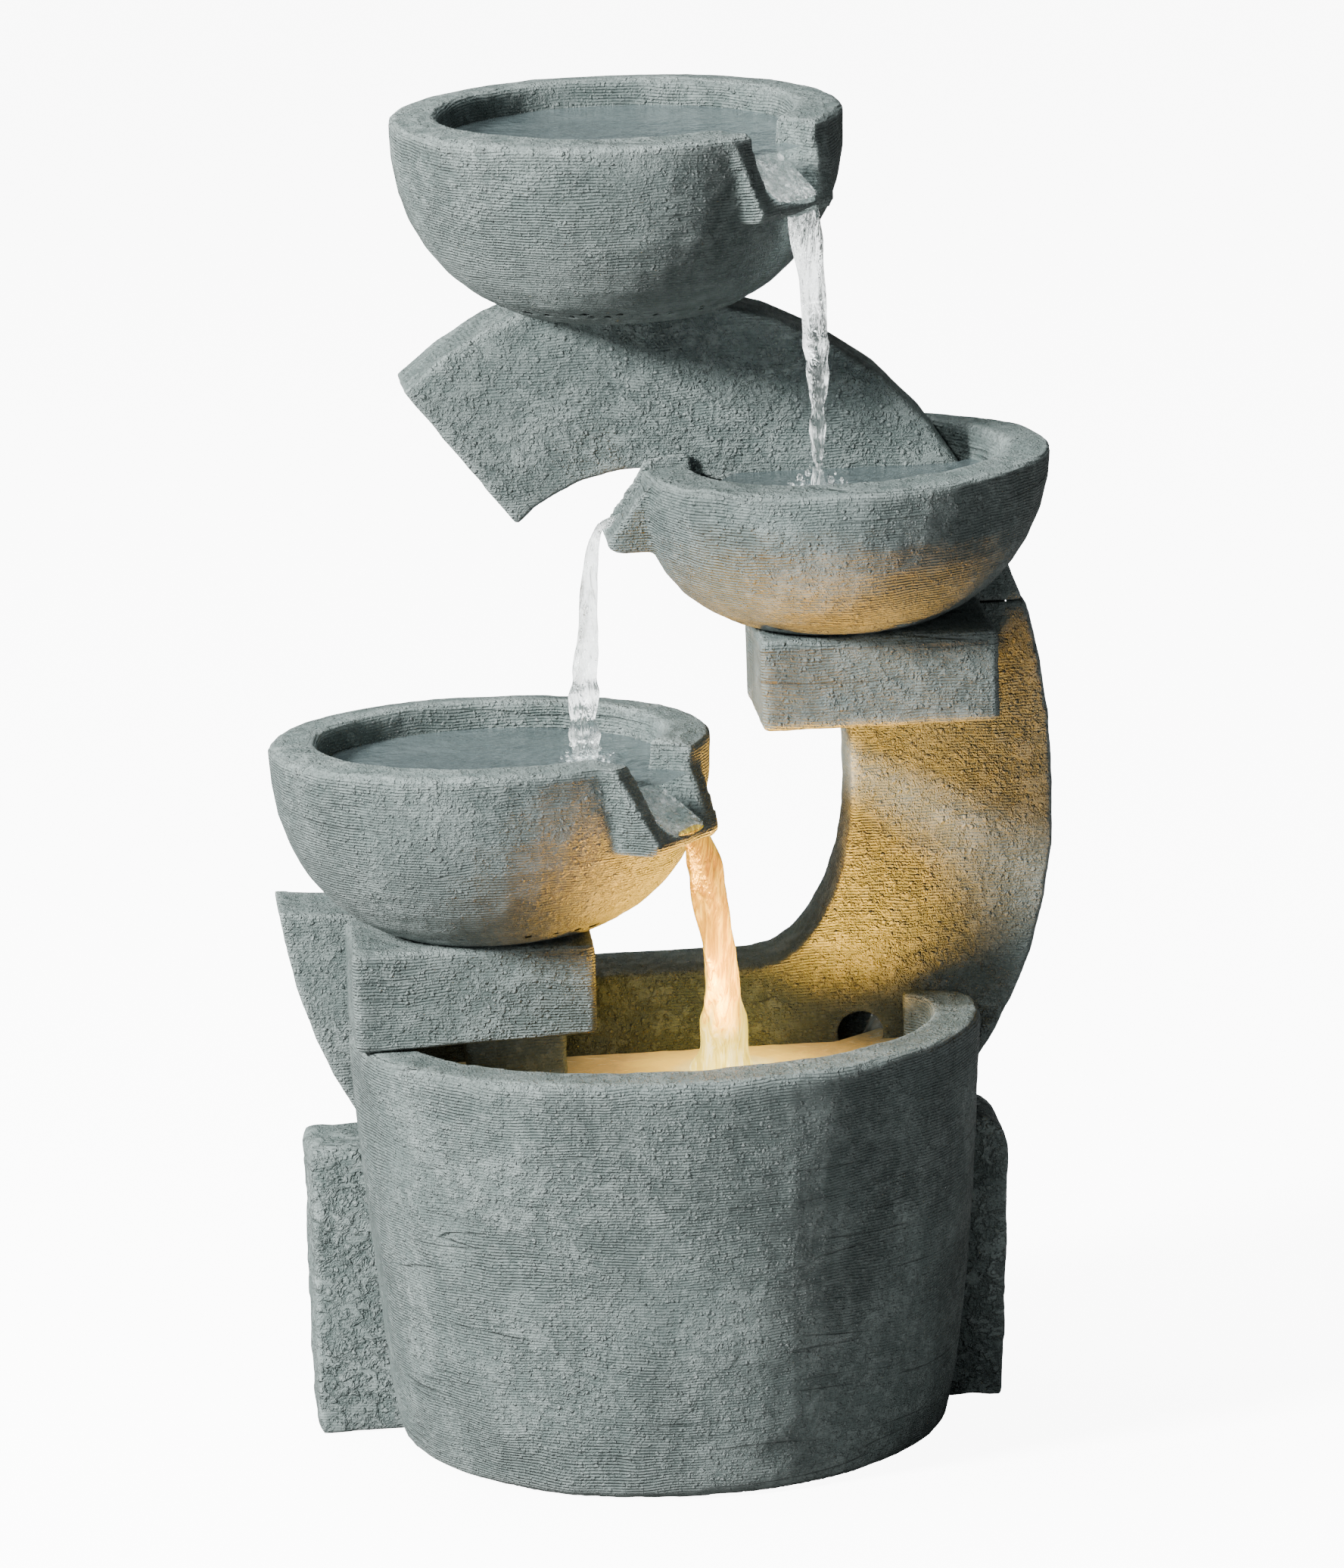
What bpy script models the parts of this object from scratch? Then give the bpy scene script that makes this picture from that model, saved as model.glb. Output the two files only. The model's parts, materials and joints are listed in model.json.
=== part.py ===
# Tiered bowl fountain: a broken stone ring standing on a rear plinth, an oval basin in front of it,
# three spouted bowls, two carrying blocks, and the pump, hose and lights inside.
# Metres, +Z up, +Y to the back. The origin is on the ground, under the middle of the basin.

import math

import bmesh
import bpy
from mathutils import Matrix, Vector

# Gaps and walls
seat_gap = 0.0003
stone_wall = 0.006
bowl_wall = 0.006

# The ring: an oval band standing upright, cut open on the left
ring_front = 0.0645
ring_depth = 0.055
ring_back = ring_front + ring_depth
ring_x = 0.005
ring_z = 0.345
ring_half_width = 0.2132
ring_roundness = 2.15
ring_up_right = 0.276
ring_up_left = 0.2855
ring_down_right = 0.232
ring_down_left = 0.260
seam_z = 0.447
seam_step = 0.0015
blade_corner_x = -0.126
blade_tip_angle = 135
window_top_z = 0.4345
window_top_rise = 0.0955
band_width = 0.1087
window_right = ring_x + ring_half_width - band_width
window_corner_z = 0.350
window_corner_x = 0.0555
low_wall_top = 0.2505
wing_side = -0.105
wing_fillet = 0.030
wing_top_left = 0.2955
wing_top_right = 0.2860

# Rear plinth
plinth_height = 0.160
plinth_left_top = -0.194
plinth_left_bottom = -0.194
plinth_right_top = 0.190
plinth_right_bottom = 0.183
plinth_depth = ring_depth + 0.004
plinth_corner = 0.018
plinth_floor = 0.008
plinth_back = ring_front + plinth_depth

# Basin
basin_height = 0.235
basin_rim_half_width = 0.172
basin_foot_half_width = 0.147
basin_rim_centre = 0.0235
basin_foot_centre = 0.0535
basin_rim_front = 0.143
basin_foot_front = 0.150
basin_side_wall = 0.028
basin_front_wall = 0.033
basin_swell = 0.6
basin_back_roundness = 4.5
basin_floor = 0.010
basin_back_wall = 0.008
basin_back_top = 0.196
basin_edge = 0.004

# Return hole in the ring's low wall, and the low port between the basin and the pump chamber
return_hole_x = 0.110
return_hole_z = 0.2094
return_hole_radius = 0.0124
port_x = 0.040
port_z = 0.032
port_radius = 0.012

# Carrying blocks: left, right, front, bottom, top
lower_block_left = -0.170
lower_block_right = -0.039
lower_block_front = -0.020
lower_block_height = 0.055
lower_block_top = basin_height + lower_block_height
lower_block_rise = 0.004
middle_block_left = 0.054
middle_block_right = 0.182
middle_block_front = -0.025
middle_block_bottom = 0.401
middle_block_height = 0.0505
middle_block_top = middle_block_bottom + middle_block_height
block_edge = 0.0025
pedestal_left_bottom = -0.090
pedestal_left_top = -0.110
pedestal_right = -0.055
pedestal_front = 0.005

# Bowls
bowl_roundness = 2.4
bowl_base_share = 0.459
bowl_rim_slope = 0.0015
bowl_edge = 0.003
bowl_turns = 40
wide_spout = dict(top=0.080, lip=0.060, channel_top=0.050, channel_lip=0.038, channel_side=0.0)
narrow_spout = dict(top=0.057, lip=0.044, channel_top=0.028, channel_lip=0.022, channel_side=-0.010)
upper_bowl = dict(
    x=-0.0065, y=ring_back - 0.0535, base=0.620, radius=0.122, height=0.1080, rim=0.026, depth=0.062, oval=1.0,
    foot=(0, 0), lean=0.0, spout_angle=-46, spout=wide_spout, lip_reach=0.006, lip_drop=0.042,
)
middle_bowl = dict(
    x=0.1085, y=0.036, base=middle_block_top + seat_gap, radius=0.1110, height=0.0890, rim=0.026, depth=0.050, oval=1.0,
    foot=(-0.008, -0.007), lean=0.025, spout_angle=180, spout=narrow_spout, lip_reach=0.0205, lip_drop=0.036,
)
lower_bowl = dict(
    x=-0.0890, y=0.030, base=lower_block_top + seat_gap, radius=0.1195, height=0.1065, rim=0.026, depth=0.060, oval=0.86,
    foot=(0, 0), lean=0.0, spout_angle=-38, spout=wide_spout, lip_reach=0.015, lip_drop=0.044,
)
channel_depth = 0.017
spout_skirt = 0.006

# Riser from the hose into the upper bowl
riser_x = upper_bowl["x"]
riser_y = ring_front + ring_depth / 2
riser_radius = 0.0075
riser_bore = 0.0048
riser_rise = 0.0075
riser_cap = 0.0018
riser_slot_width = 0.0028
riser_slot_height = 0.004
riser_drop = 0.0435
riser_end = 0.0085
riser_inlet_z = upper_bowl["base"] - riser_drop
riser_low_z = riser_inlet_z - riser_end
riser_inlet_x = 0.024
nut_radius = 0.013
nut_height = 0.006
washer_height = 0.002

# Access door on the ring's back, above the water
door_edge = 0.8396 * ring_half_width
door_width = 0.057
door_right = ring_x + door_edge
door_left = door_right - door_width
door_bottom = 0.246
door_top = 0.396
door_overlap = 0.008
door_thick = 0.004
door_screw_inset = 0.004
panel_thick = 0.0055
screw_shank = 0.0015
screw_head = 0.0032
screw_head_height = 0.0020
screw_length = 0.0105

# Drain plug and cable gland in the plinth's back
drain_x = -0.120
drain_z = 0.028
drain_radius = 0.0080
gland_x = 0.150
gland_z = 0.120
gland_radius = 0.0065
gland_bore = 0.0032

# Pump, lying with its axis along X, intake to the left
cup_radius = 0.008
cup_height = 0.0057
base_thick = 0.003
pump_width = 0.040
pump_height = 0.040
pump_length = 0.042
pump_y = ring_front + plinth_depth / 2
pump_z = plinth_floor + cup_height + base_thick + 3 * seat_gap + pump_height / 2
pump_mouth = 0.104
pump_end = pump_mouth + pump_length
rotor_radius = 0.0085
rotor_gap = 0.0008
well_depth = 0.034
rotor_end_gap = 0.0035
rotor_end = pump_mouth + well_depth - rotor_end_gap
shaft_radius = 0.0015
shaft_clearance = 0.00006
bush_radius = 0.0028
bush_length = 0.0026
volute_radius = 0.0175
volute_length = 0.0134
volute_wall = 0.0020
intake_ring_radius = 0.0078
intake_hole_radius = 0.0026
impeller_radius = 0.0125
hub_radius = 0.0035
vane_count = 6
vane_thick = 0.001
vane_length = 0.0045
nozzle_y = pump_y + 0.008
nozzle_x = pump_mouth - seat_gap - volute_length / 2
nozzle_radius = 0.0062
nozzle_bore = 0.0042
nozzle_top = pump_z + 0.047
strainer_length = 0.0340
strainer_wall = 0.0018
strainer_slot = 0.0022
strainer_slot_length = 0.009
strainer_slot_offset = 0.0105
strainer_slot_pitch = 0.009
strainer_slots = 4
dial_radius = 0.009
dial_thick = 0.0055
dial_stem = 0.0028
dial_stem_length = 0.006
dial_ridge = 0.0024
adapter_radius = 0.0085
adapter_top = nozzle_top + 0.0204
adapter_skirt = 0.014
barb_radius = 0.0064
barb_neck = 0.0056
barb_pitch = 0.006
hose_radius = 0.0065
# Share of the ring's half width, and height
hose_places = (
    (0.490, 0.177), (0.600, 0.230), (0.708, 0.300), (0.741, 0.370),
    (0.713, 0.435), (0.619, 0.495), (0.460, 0.545), (0.286, 0.5705),
)

# Lights on the basin floor: x, y of each
light_places = ((0.020, -0.045), (0.088, 0.012))
light_radius = 0.018
light_height = 0.022
light_wall = 0.0022
lead_radius = 0.002

# Splice box where the leads meet
splice_x = -0.030
splice_length = 0.040
splice_width = 0.022
splice_height = 0.018

sharp_angle = math.radians(35)

finishes = {
    "stone": ((0.200, 0.235, 0.228), 0.85, 0.0),
    "rubber": ((0.030, 0.030, 0.032), 0.60, 0.0),
    "black_plastic": ((0.020, 0.020, 0.022), 0.45, 0.0),
    "grey_plastic": ((0.230, 0.235, 0.240), 0.50, 0.0),
    "clear_vinyl": ((0.550, 0.600, 0.600), 0.20, 0.0),
    "steel": ((0.600, 0.600, 0.590), 0.30, 1.0),
    "ceramic": ((0.850, 0.840, 0.800), 0.25, 0.0),
    "magnet": ((0.060, 0.060, 0.065), 0.55, 0.0),
    "circuit": ((0.850, 0.850, 0.800), 0.50, 0.0),
    "lens": ((0.950, 0.900, 0.750), 0.10, 0.0),
}


def clear_scene():
    for item in list(bpy.data.objects):
        bpy.data.objects.remove(item, do_unlink=True)


def new_collection(name, shown):
    made = bpy.data.collections.new(name)
    made.hide_render = not shown
    bpy.context.scene.collection.children.link(made)
    return made


def finish_material(name):
    known = bpy.data.materials.get(name)
    if known:
        return known
    colour, roughness, metallic = finishes[name]
    made = bpy.data.materials.new(name)
    made.use_nodes = True
    shader = made.node_tree.nodes["Principled BSDF"]
    shader.inputs["Base Color"].default_value = (*colour, 1.0)
    shader.inputs["Roughness"].default_value = roughness
    shader.inputs["Metallic"].default_value = metallic
    return made


def solid(name, shape, finish=None, place=None):
    """A mesh object from a bmesh. With no finish it is a cutter. place moves it to its place."""
    if place is not None:
        bmesh.ops.transform(shape, matrix=place, verts=shape.verts)
    bmesh.ops.recalc_face_normals(shape, faces=shape.faces)
    mesh = bpy.data.meshes.new(name)
    shape.to_mesh(mesh)
    shape.free()
    mesh.shade_smooth()
    mesh.set_sharp_from_angle(angle=sharp_angle)
    made = bpy.data.objects.new(name, mesh)
    if finish is None:
        cutters.objects.link(made)
        made.hide_render = True
        made.display_type = "WIRE"
    else:
        parts.objects.link(made)
        mesh.materials.append(finish_material(finish))
    return made


def cut(target, tool):
    change = target.modifiers.new("cut " + tool.name, "BOOLEAN")
    change.operation = "DIFFERENCE"
    change.object = tool


def join(target, tool):
    change = target.modifiers.new("join " + tool.name, "BOOLEAN")
    change.operation = "UNION"
    change.object = tool


def soften(target, width, segments=1):
    change = target.modifiers.new("soft edges", "BEVEL")
    change.width = width
    change.segments = segments
    change.limit_method = "ANGLE"
    change.angle_limit = math.radians(40)


def set_origin(target, point):
    """Moves the object's origin to a point without moving its shape."""
    shift = Vector(point) - target.location
    target.data.transform(Matrix.Translation(-shift))
    target.location = Vector(point)


def box_shape(low, high):
    shape = bmesh.new()
    size = [b - a for a, b in zip(low, high)]
    middle = [(a + b) / 2 for a, b in zip(low, high)]
    bmesh.ops.create_cube(shape, size=1, matrix=Matrix.Translation(middle) @ Matrix.Diagonal((*size, 1)))
    return shape


def rod_shape(start, end, radius, sides=20):
    """A cylinder from start to end."""
    start, end = Vector(start), Vector(end)
    along = end - start
    turn = along.to_track_quat("Z", "Y").to_matrix().to_4x4()
    shape = bmesh.new()
    bmesh.ops.create_cone(
        shape, cap_ends=True, segments=sides, radius1=radius, radius2=radius, depth=along.length,
        matrix=Matrix.Translation((start + end) / 2) @ turn,
    )
    return shape


def evaluated_shape(guide):
    """The bmesh of an object as its modifiers or its bevel leave it, in world space. The guide is removed."""
    bpy.context.view_layer.update()
    graph = bpy.context.evaluated_depsgraph_get()
    mesh = bpy.data.meshes.new_from_object(guide.evaluated_get(graph))
    shape = bmesh.new()
    shape.from_mesh(mesh)
    bmesh.ops.transform(shape, matrix=guide.matrix_world, verts=shape.verts)
    bmesh.ops.remove_doubles(shape, verts=shape.verts, dist=0.00001)
    bpy.data.objects.remove(guide, do_unlink=True)
    bpy.data.meshes.remove(mesh)
    return shape


def plate_shape(outline, front, back):
    """A flat outline of (x, z) points, standing upright between two y values."""
    curve = bpy.data.curves.new("outline", "CURVE")
    curve.dimensions = "2D"
    curve.fill_mode = "BOTH"
    curve.extrude = (back - front) / 2
    spline = curve.splines.new("POLY")
    spline.points.add(len(outline) - 1)
    for point, (x, z) in zip(spline.points, outline):
        point.co = (x, z, 0, 1)
    spline.use_cyclic_u = True
    guide = bpy.data.objects.new("outline", curve)
    guide.rotation_euler.x = math.radians(90)
    guide.location.y = (front + back) / 2
    cutters.objects.link(guide)
    return evaluated_shape(guide)


def turned_shape(profile, turns, closed=False):
    """A profile of (radius, height) points turned about Z."""
    mesh = bpy.data.meshes.new("profile")
    edges = [(i, i + 1) for i in range(len(profile) - 1)]
    if closed:
        edges.append((len(profile) - 1, 0))
    mesh.from_pydata([(r, 0, z) for r, z in profile], edges, [])
    guide = bpy.data.objects.new("profile", mesh)
    cutters.objects.link(guide)
    screw = guide.modifiers.new("turn", "SCREW")
    screw.steps = turns
    screw.render_steps = turns
    screw.use_merge_vertices = True
    screw.merge_threshold = 0.00001
    return evaluated_shape(guide)


def ring_shape(outer, inner, low, high, turns=20):
    return turned_shape([(inner, high), (outer, high), (outer, low), (inner, low)], turns, closed=True)


def along_x(x, y, z):
    """Stands a shape that was turned about Z along +X, with its foot at a point."""
    return Matrix.Translation((x, y, z)) @ Matrix.Rotation(math.radians(90), 4, "Y")


def along_y(x, y, z):
    """Stands a shape that was turned about Z along +Y, with its foot at a point."""
    return Matrix.Translation((x, y, z)) @ Matrix.Rotation(math.radians(-90), 4, "X")


def inset(outline, distance):
    """The outline moved inwards. Its points run anticlockwise, seen with x right and z up."""
    moved = []
    count = len(outline)
    for i, here in enumerate(outline):
        before = Vector(outline[i - 1])
        after = Vector(outline[(i + 1) % count])
        here = Vector(here)
        first = (here - before).normalized()
        second = (after - here).normalized()
        left = Vector((-first.y, first.x)) + Vector((-second.y, second.x))
        moved.append(here + left * distance / max(1 + first.dot(second), 0.3))
    return [tuple(point) for point in moved]


def power(value, exponent):
    return math.copysign(abs(value) ** exponent, value)


def arc(centre, half_width, half_height, start, end, steps, roundness=2.0):
    """Points on a superellipse between two angles in degrees."""
    found = []
    for i in range(steps + 1):
        angle = math.radians(start + (end - start) * i / steps)
        x = centre[0] + half_width * power(math.cos(angle), 2 / roundness)
        z = centre[1] + half_height * power(math.sin(angle), 2 / roundness)
        found.append((x, z))
    return found


def angle_at_height(z, half_height):
    """The ring's angle, from the right, at which its outer edge is at this height."""
    share = (z - ring_z) / half_height
    return math.degrees(math.asin(power(share, ring_roundness / 2)))


def ring_arc(start, end, half_height, steps, grow=0.0):
    return arc(
        (ring_x, ring_z), ring_half_width + grow, half_height + grow, start, end, steps, ring_roundness
    )


def blade_corner_angle():
    share = (blade_corner_x - ring_x) / ring_half_width
    return math.degrees(math.acos(power(share, ring_roundness / 2)))


def upper_outer_edge():
    """From the seam on the right, over the top, to the blade's corner."""
    seam = angle_at_height(seam_z, ring_up_right)
    right = ring_arc(seam, 90, ring_up_right, 8)
    left = ring_arc(90, blade_corner_angle(), ring_up_left, 5)
    return right + left[1:]


def upper_inner_edge():
    """From the blade's tip, under the arch, to the seam."""
    centre = (0, window_top_z)
    left = arc(centre, window_top_rise, window_top_rise, blade_tip_angle, 90, 5)
    end = math.degrees(math.asin((seam_z - window_top_z) / window_top_rise))
    right = arc(centre, window_right, window_top_rise, 90, end, 6)
    return left + right[1:]


def lower_outer_edge(bottom, grow):
    """From the bottom on the right up to the seam."""
    low = angle_at_height(bottom, ring_down_right + grow)
    below = ring_arc(low, 0, ring_down_right, 7, grow)
    above = ring_arc(0, angle_at_height(seam_z, ring_up_right + grow), ring_up_right, 3, grow)
    return below + above[1:]


def lower_inner_edge():
    """From the seam down to the low wall's top, along it, and up the wing's side."""
    centre = (0, window_top_z)
    start = math.degrees(math.asin((seam_z - window_top_z) / window_top_rise))
    neck = arc(centre, window_right, window_top_rise, start, 0, 1)
    corner = arc(
        (window_corner_x, window_corner_z), window_right - window_corner_x,
        window_corner_z - low_wall_top, 0, -90, 7,
    )
    fillet = arc((wing_side + wing_fillet, low_wall_top + wing_fillet), wing_fillet, wing_fillet, -90, -180, 3)
    return neck + corner + fillet


def wing_outer_edge(bottom):
    """From the wing's top down its left side to the bottom."""
    top = -180 - angle_at_height(wing_top_left, ring_down_left)
    low = -180 - angle_at_height(bottom, ring_down_left)
    return ring_arc(top, low, ring_down_left, 6)


def wing_top_edge():
    return [(wing_side, wing_top_right)]


def crescent_upper_outline():
    return upper_outer_edge() + upper_inner_edge()


def crescent_lower_outline(bottom, grow):
    return lower_outer_edge(bottom, grow) + lower_inner_edge() + wing_top_edge() + wing_outer_edge(bottom)


def hollow_outline(gap):
    """The inside of the whole ring, from the blade round to the wing."""
    bottom = plinth_height - 2 * stone_wall
    whole = (
        lower_outer_edge(bottom, 0.0)[:-1] + upper_outer_edge() + upper_inner_edge()[:-1]
        + lower_inner_edge() + wing_top_edge() + wing_outer_edge(bottom)
    )
    return inset(whole, stone_wall + gap)


def back_outline(low, high):
    """The closing panel's outline between two heights, from the ring's hollow."""
    kept = []
    outline = hollow_outline(seat_gap)
    for i, (x, z) in enumerate(outline):
        next_x, next_z = outline[(i + 1) % len(outline)]
        if low <= z <= high:
            kept.append((x, z))
        for level in (low, high):
            if (z - level) * (next_z - level) < 0:
                kept.append((x + (next_x - x) * (level - z) / (next_z - z), level))
    return kept


def make_bowl_seat():
    """Cuts the top of the arch flat under the upper bowl."""
    seat, half = upper_bowl["base"] - seat_gap, upper_bowl["radius"] / 2
    return solid("bowl_seat", box_shape((riser_x - half, 0.0, seat), (riser_x + half, 0.2, seat + 0.03)))


def make_crescents(bowl_seat):
    hollow = solid("ring_hollow", plate_shape(hollow_outline(0.0), ring_front + stone_wall, ring_back + 0.02))
    upper = solid(
        "crescent_upper", plate_shape(crescent_upper_outline(), ring_front, ring_back), "stone"
    )
    lower = solid(
        "crescent_lower",
        plate_shape(crescent_lower_outline(plinth_height + seat_gap, seam_step), ring_front, ring_back),
        "stone",
    )
    clip = solid("seam_gap", box_shape((0, 0, seam_z - seat_gap), (0.3, 0.2, seam_z + seam_step)))
    cut(lower, clip)
    for target in (upper, lower):
        cut(target, hollow)
    cut(upper, bowl_seat)
    seat = upper_bowl["base"]
    hole = rod_shape((riser_x, riser_y, seat - 0.03), (riser_x, riser_y, seat + 0.01), riser_radius + 0.001)
    cut(upper, solid("riser_hole", hole))
    hole = rod_shape(
        (return_hole_x, ring_front - 0.01, return_hole_z),
        (return_hole_x, ring_front + stone_wall + 0.004, return_hole_z), return_hole_radius,
    )
    cut(lower, solid("return_hole", hole))


def door_screw_places():
    left, right = door_left - door_screw_inset, door_right + door_screw_inset
    low, high = door_bottom - door_screw_inset, door_top + door_screw_inset
    return [(left, low), (right, low), (left, high), (right, high)]


def make_back_panels(bowl_seat):
    back = ring_back - seat_gap / 3
    front = back - panel_thick
    top = ring_z + ring_up_left
    outline = back_outline(seam_z + seat_gap / 2, top)
    upper = solid("back_panel_upper", plate_shape(outline, front, back), "stone")
    cut(upper, bowl_seat)
    lower = solid(
        "back_panel_lower",
        plate_shape(back_outline(plinth_height + seat_gap, seam_z - seat_gap / 2), front, back), "stone",
    )
    opening = box_shape((door_left, front - 0.01, door_bottom), (door_right, back + 0.01, door_top))
    cut(lower, solid("door_opening", opening))
    for i, (x, z) in enumerate(door_screw_places()):
        hole = rod_shape((x, front - 0.01, z), (x, back + 0.01, z), screw_shank + 0.0002, 12)
        cut(lower, solid(f"panel_screw_hole_{i + 1}", hole))


def make_door():
    front = ring_back + seat_gap
    back = front + door_thick
    low = (door_left - door_overlap, front, door_bottom - door_overlap)
    high = (door_right + door_overlap, back, door_top + door_overlap)
    door = solid("access_door", box_shape(low, high), "stone")
    soften(door, 0.001)
    for i, (x, z) in enumerate(door_screw_places()):
        hole = rod_shape((x, front - 0.01, z), (x, back + 0.01, z), screw_shank + 0.0004, 12)
        cut(door, solid(f"door_screw_hole_{i + 1}", hole))
        make_screw(f"door_screw_{i + 1}", x, back + seat_gap, z)


def make_screw(name, x, y, z):
    """A pan-head screw pointing to the front, its head's underside at y."""
    head, shank = screw_head, screw_shank
    profile = [
        (0, screw_head_height), (head * 0.6, screw_head_height), (head, screw_head_height * 0.5), (head, 0),
        (shank, 0), (shank, -screw_length + shank), (0, -screw_length),
    ]
    screw = solid(name, turned_shape(profile, 12), "steel", along_y(x, y, z))
    reach = head * 0.62
    for i, (wide, tall) in enumerate(((reach, 0.0004), (0.0004, reach))):
        low = (x - wide, y + screw_head_height * 0.5, z - tall)
        high = (x + wide, y + screw_head_height + 0.001, z + tall)
        cut(screw, solid(f"{name}_recess_{i + 1}", box_shape(low, high)))


def make_plinth():
    top, radius = plinth_height, plinth_corner
    corner = arc((plinth_right_top - radius, top - radius), radius, radius, 0, 90, 4)
    outline = [(plinth_left_bottom, 0), (plinth_right_bottom, 0)] + corner + [(plinth_left_top, top)]
    plinth = solid("rear_plinth", plate_shape(outline, ring_front, plinth_back), "stone")
    inner = inset(outline, stone_wall)
    inner = [(x, max(z, plinth_floor)) for x, z in inner]
    front, back = ring_front + stone_wall, plinth_back - stone_wall
    cut(plinth, solid("plinth_hollow", plate_shape(inner, front, back)))
    left = wing_outer_edge(top)[-1][0] + 2 * stone_wall
    right = lower_outer_edge(top, 0.0)[0][0] - 2 * stone_wall
    mouth = box_shape((left, front, top - 0.02), (right, ring_back - stone_wall, top + 0.01))
    cut(plinth, solid("plinth_mouth", mouth))
    port = rod_shape((port_x, ring_front - 0.01, port_z), (port_x, front + 0.004, port_z), port_radius)
    cut(plinth, solid("plinth_port", port))
    for name, x, z, radius in (
        ("drain_hole", drain_x, drain_z, drain_radius + seat_gap),
        ("gland_hole", gland_x, gland_z, gland_radius + seat_gap),
    ):
        hole = rod_shape((x, back - 0.004, z), (x, plinth_back + 0.01, z), radius)
        cut(plinth, solid(name, hole))


def make_drain_plug():
    back = plinth_back + seat_gap
    flange, knob = drain_radius * 1.4, drain_radius * 0.6
    inside = -stone_wall - 0.004
    profile = [
        (0, 0.010), (knob, 0.010), (knob * 0.8, 0.003), (flange, 0.003), (flange, 0),
        (drain_radius, 0), (drain_radius * 0.92, inside), (0, inside),
    ]
    plug = solid("drain_plug", turned_shape(profile, 20), "rubber", along_y(drain_x, back, drain_z))
    set_origin(plug, (drain_x, back, drain_z))


def make_cable_gland():
    back = plinth_back + seat_gap
    inner = back - stone_wall - 2 * seat_gap
    flange = gland_radius * 1.35
    length = back - inner
    profile = [
        (gland_bore, 0.006), (gland_bore + 0.0016, 0.006), (gland_radius, 0.002), (flange, 0.002), (flange, 0),
        (gland_radius, 0), (gland_radius, -length), (flange, -length), (gland_radius, -length - 0.002),
        (gland_bore, -length - 0.002),
    ]
    shape = turned_shape(profile, 20, closed=True)
    solid("cable_gland", shape, "rubber", along_y(gland_x, back, gland_z))


def basin_ring(z, shrink_side, shrink_front, shrink_back, steps):
    """One level of the basin's wall: an ellipse in front, a squarer curve behind."""
    share = (max(z, 0.0) / basin_height) ** basin_swell
    half = basin_foot_half_width + (basin_rim_half_width - basin_foot_half_width) * share - shrink_side
    centre = basin_foot_centre + (basin_rim_centre - basin_foot_centre) * share
    depth = basin_foot_front + (basin_rim_front - basin_foot_front) * share - shrink_front
    rear = ring_front - seat_gap - centre - shrink_back
    found = []
    for i in range(steps):
        angle = 2 * math.pi * i / steps
        across, along = math.cos(angle), math.sin(angle)
        if along <= 0:
            found.append((half * across, centre + depth * along, z))
        else:
            square = 2 / basin_back_roundness
            found.append((half * power(across, square), centre + rear * power(along, square), z))
    return found


def loft_shape(rings):
    """A closed solid through rings of points, which run anticlockwise seen from above, lowest first."""
    shape = bmesh.new()
    levels = [[shape.verts.new(point) for point in ring] for ring in rings]
    for lower, higher in zip(levels, levels[1:]):
        for i in range(len(lower)):
            j = (i + 1) % len(lower)
            shape.faces.new((lower[i], lower[j], higher[j], higher[i]))
    shape.faces.new(list(reversed(levels[0])))
    shape.faces.new(levels[-1])
    return shape


def make_basin():
    steps = 56
    edge = basin_edge
    heights = [edge, 0.035, 0.080, 0.135, 0.190, basin_height - edge]
    rings = [basin_ring(0.0, edge, edge, 0, steps)]
    rings += [basin_ring(z, 0, 0, 0, steps) for z in heights]
    rings.append(basin_ring(basin_height, edge * 0.7, edge * 0.7, 0, steps))
    basin = solid("basin", loft_shape(rings), "stone")
    side, front = basin_side_wall, basin_front_wall
    inner_heights = [basin_floor, 0.040, 0.090, 0.145, basin_height - edge]
    rings = [basin_ring(z, side, front, basin_back_wall, steps) for z in inner_heights]
    top = basin_ring(basin_height, side - edge * 0.5, front - edge * 0.5, basin_back_wall, steps)
    rings.append(top)
    rings.append([(x, y, basin_height + 0.01) for x, y, _ in top])
    cut(basin, solid("basin_inside", loft_shape(rings)))
    wall = stone_wall
    rings = [
        basin_ring(z, wall, wall, -wall, steps) for z in (basin_floor, 0.060, 0.120, basin_height - wall * 1.5)
    ]
    hollow = solid("basin_wall_hollow", loft_shape(rings))
    rings = [
        basin_ring(z, side - wall, front - wall, -0.05, steps)
        for z in (basin_floor - 0.001, 0.060, 0.120, basin_height)
    ]
    core = solid("basin_wall_core", loft_shape(rings))
    cut(hollow, core)
    cut(basin, hollow)
    half = basin_rim_half_width - side - 0.012
    low, high = (-half, ring_front - 0.02, basin_back_top), (half, ring_front + 0.01, basin_height + 0.01)
    cut(basin, solid("basin_back_notch", box_shape(low, high)))
    port = rod_shape((port_x, ring_front - 0.03, port_z), (port_x, ring_front + 0.01, port_z), port_radius)
    cut(basin, solid("basin_port", port))


def lower_block_underside(x):
    share = (x - lower_block_left) / (lower_block_right - lower_block_left)
    return basin_height + seat_gap + lower_block_rise * share


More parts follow.
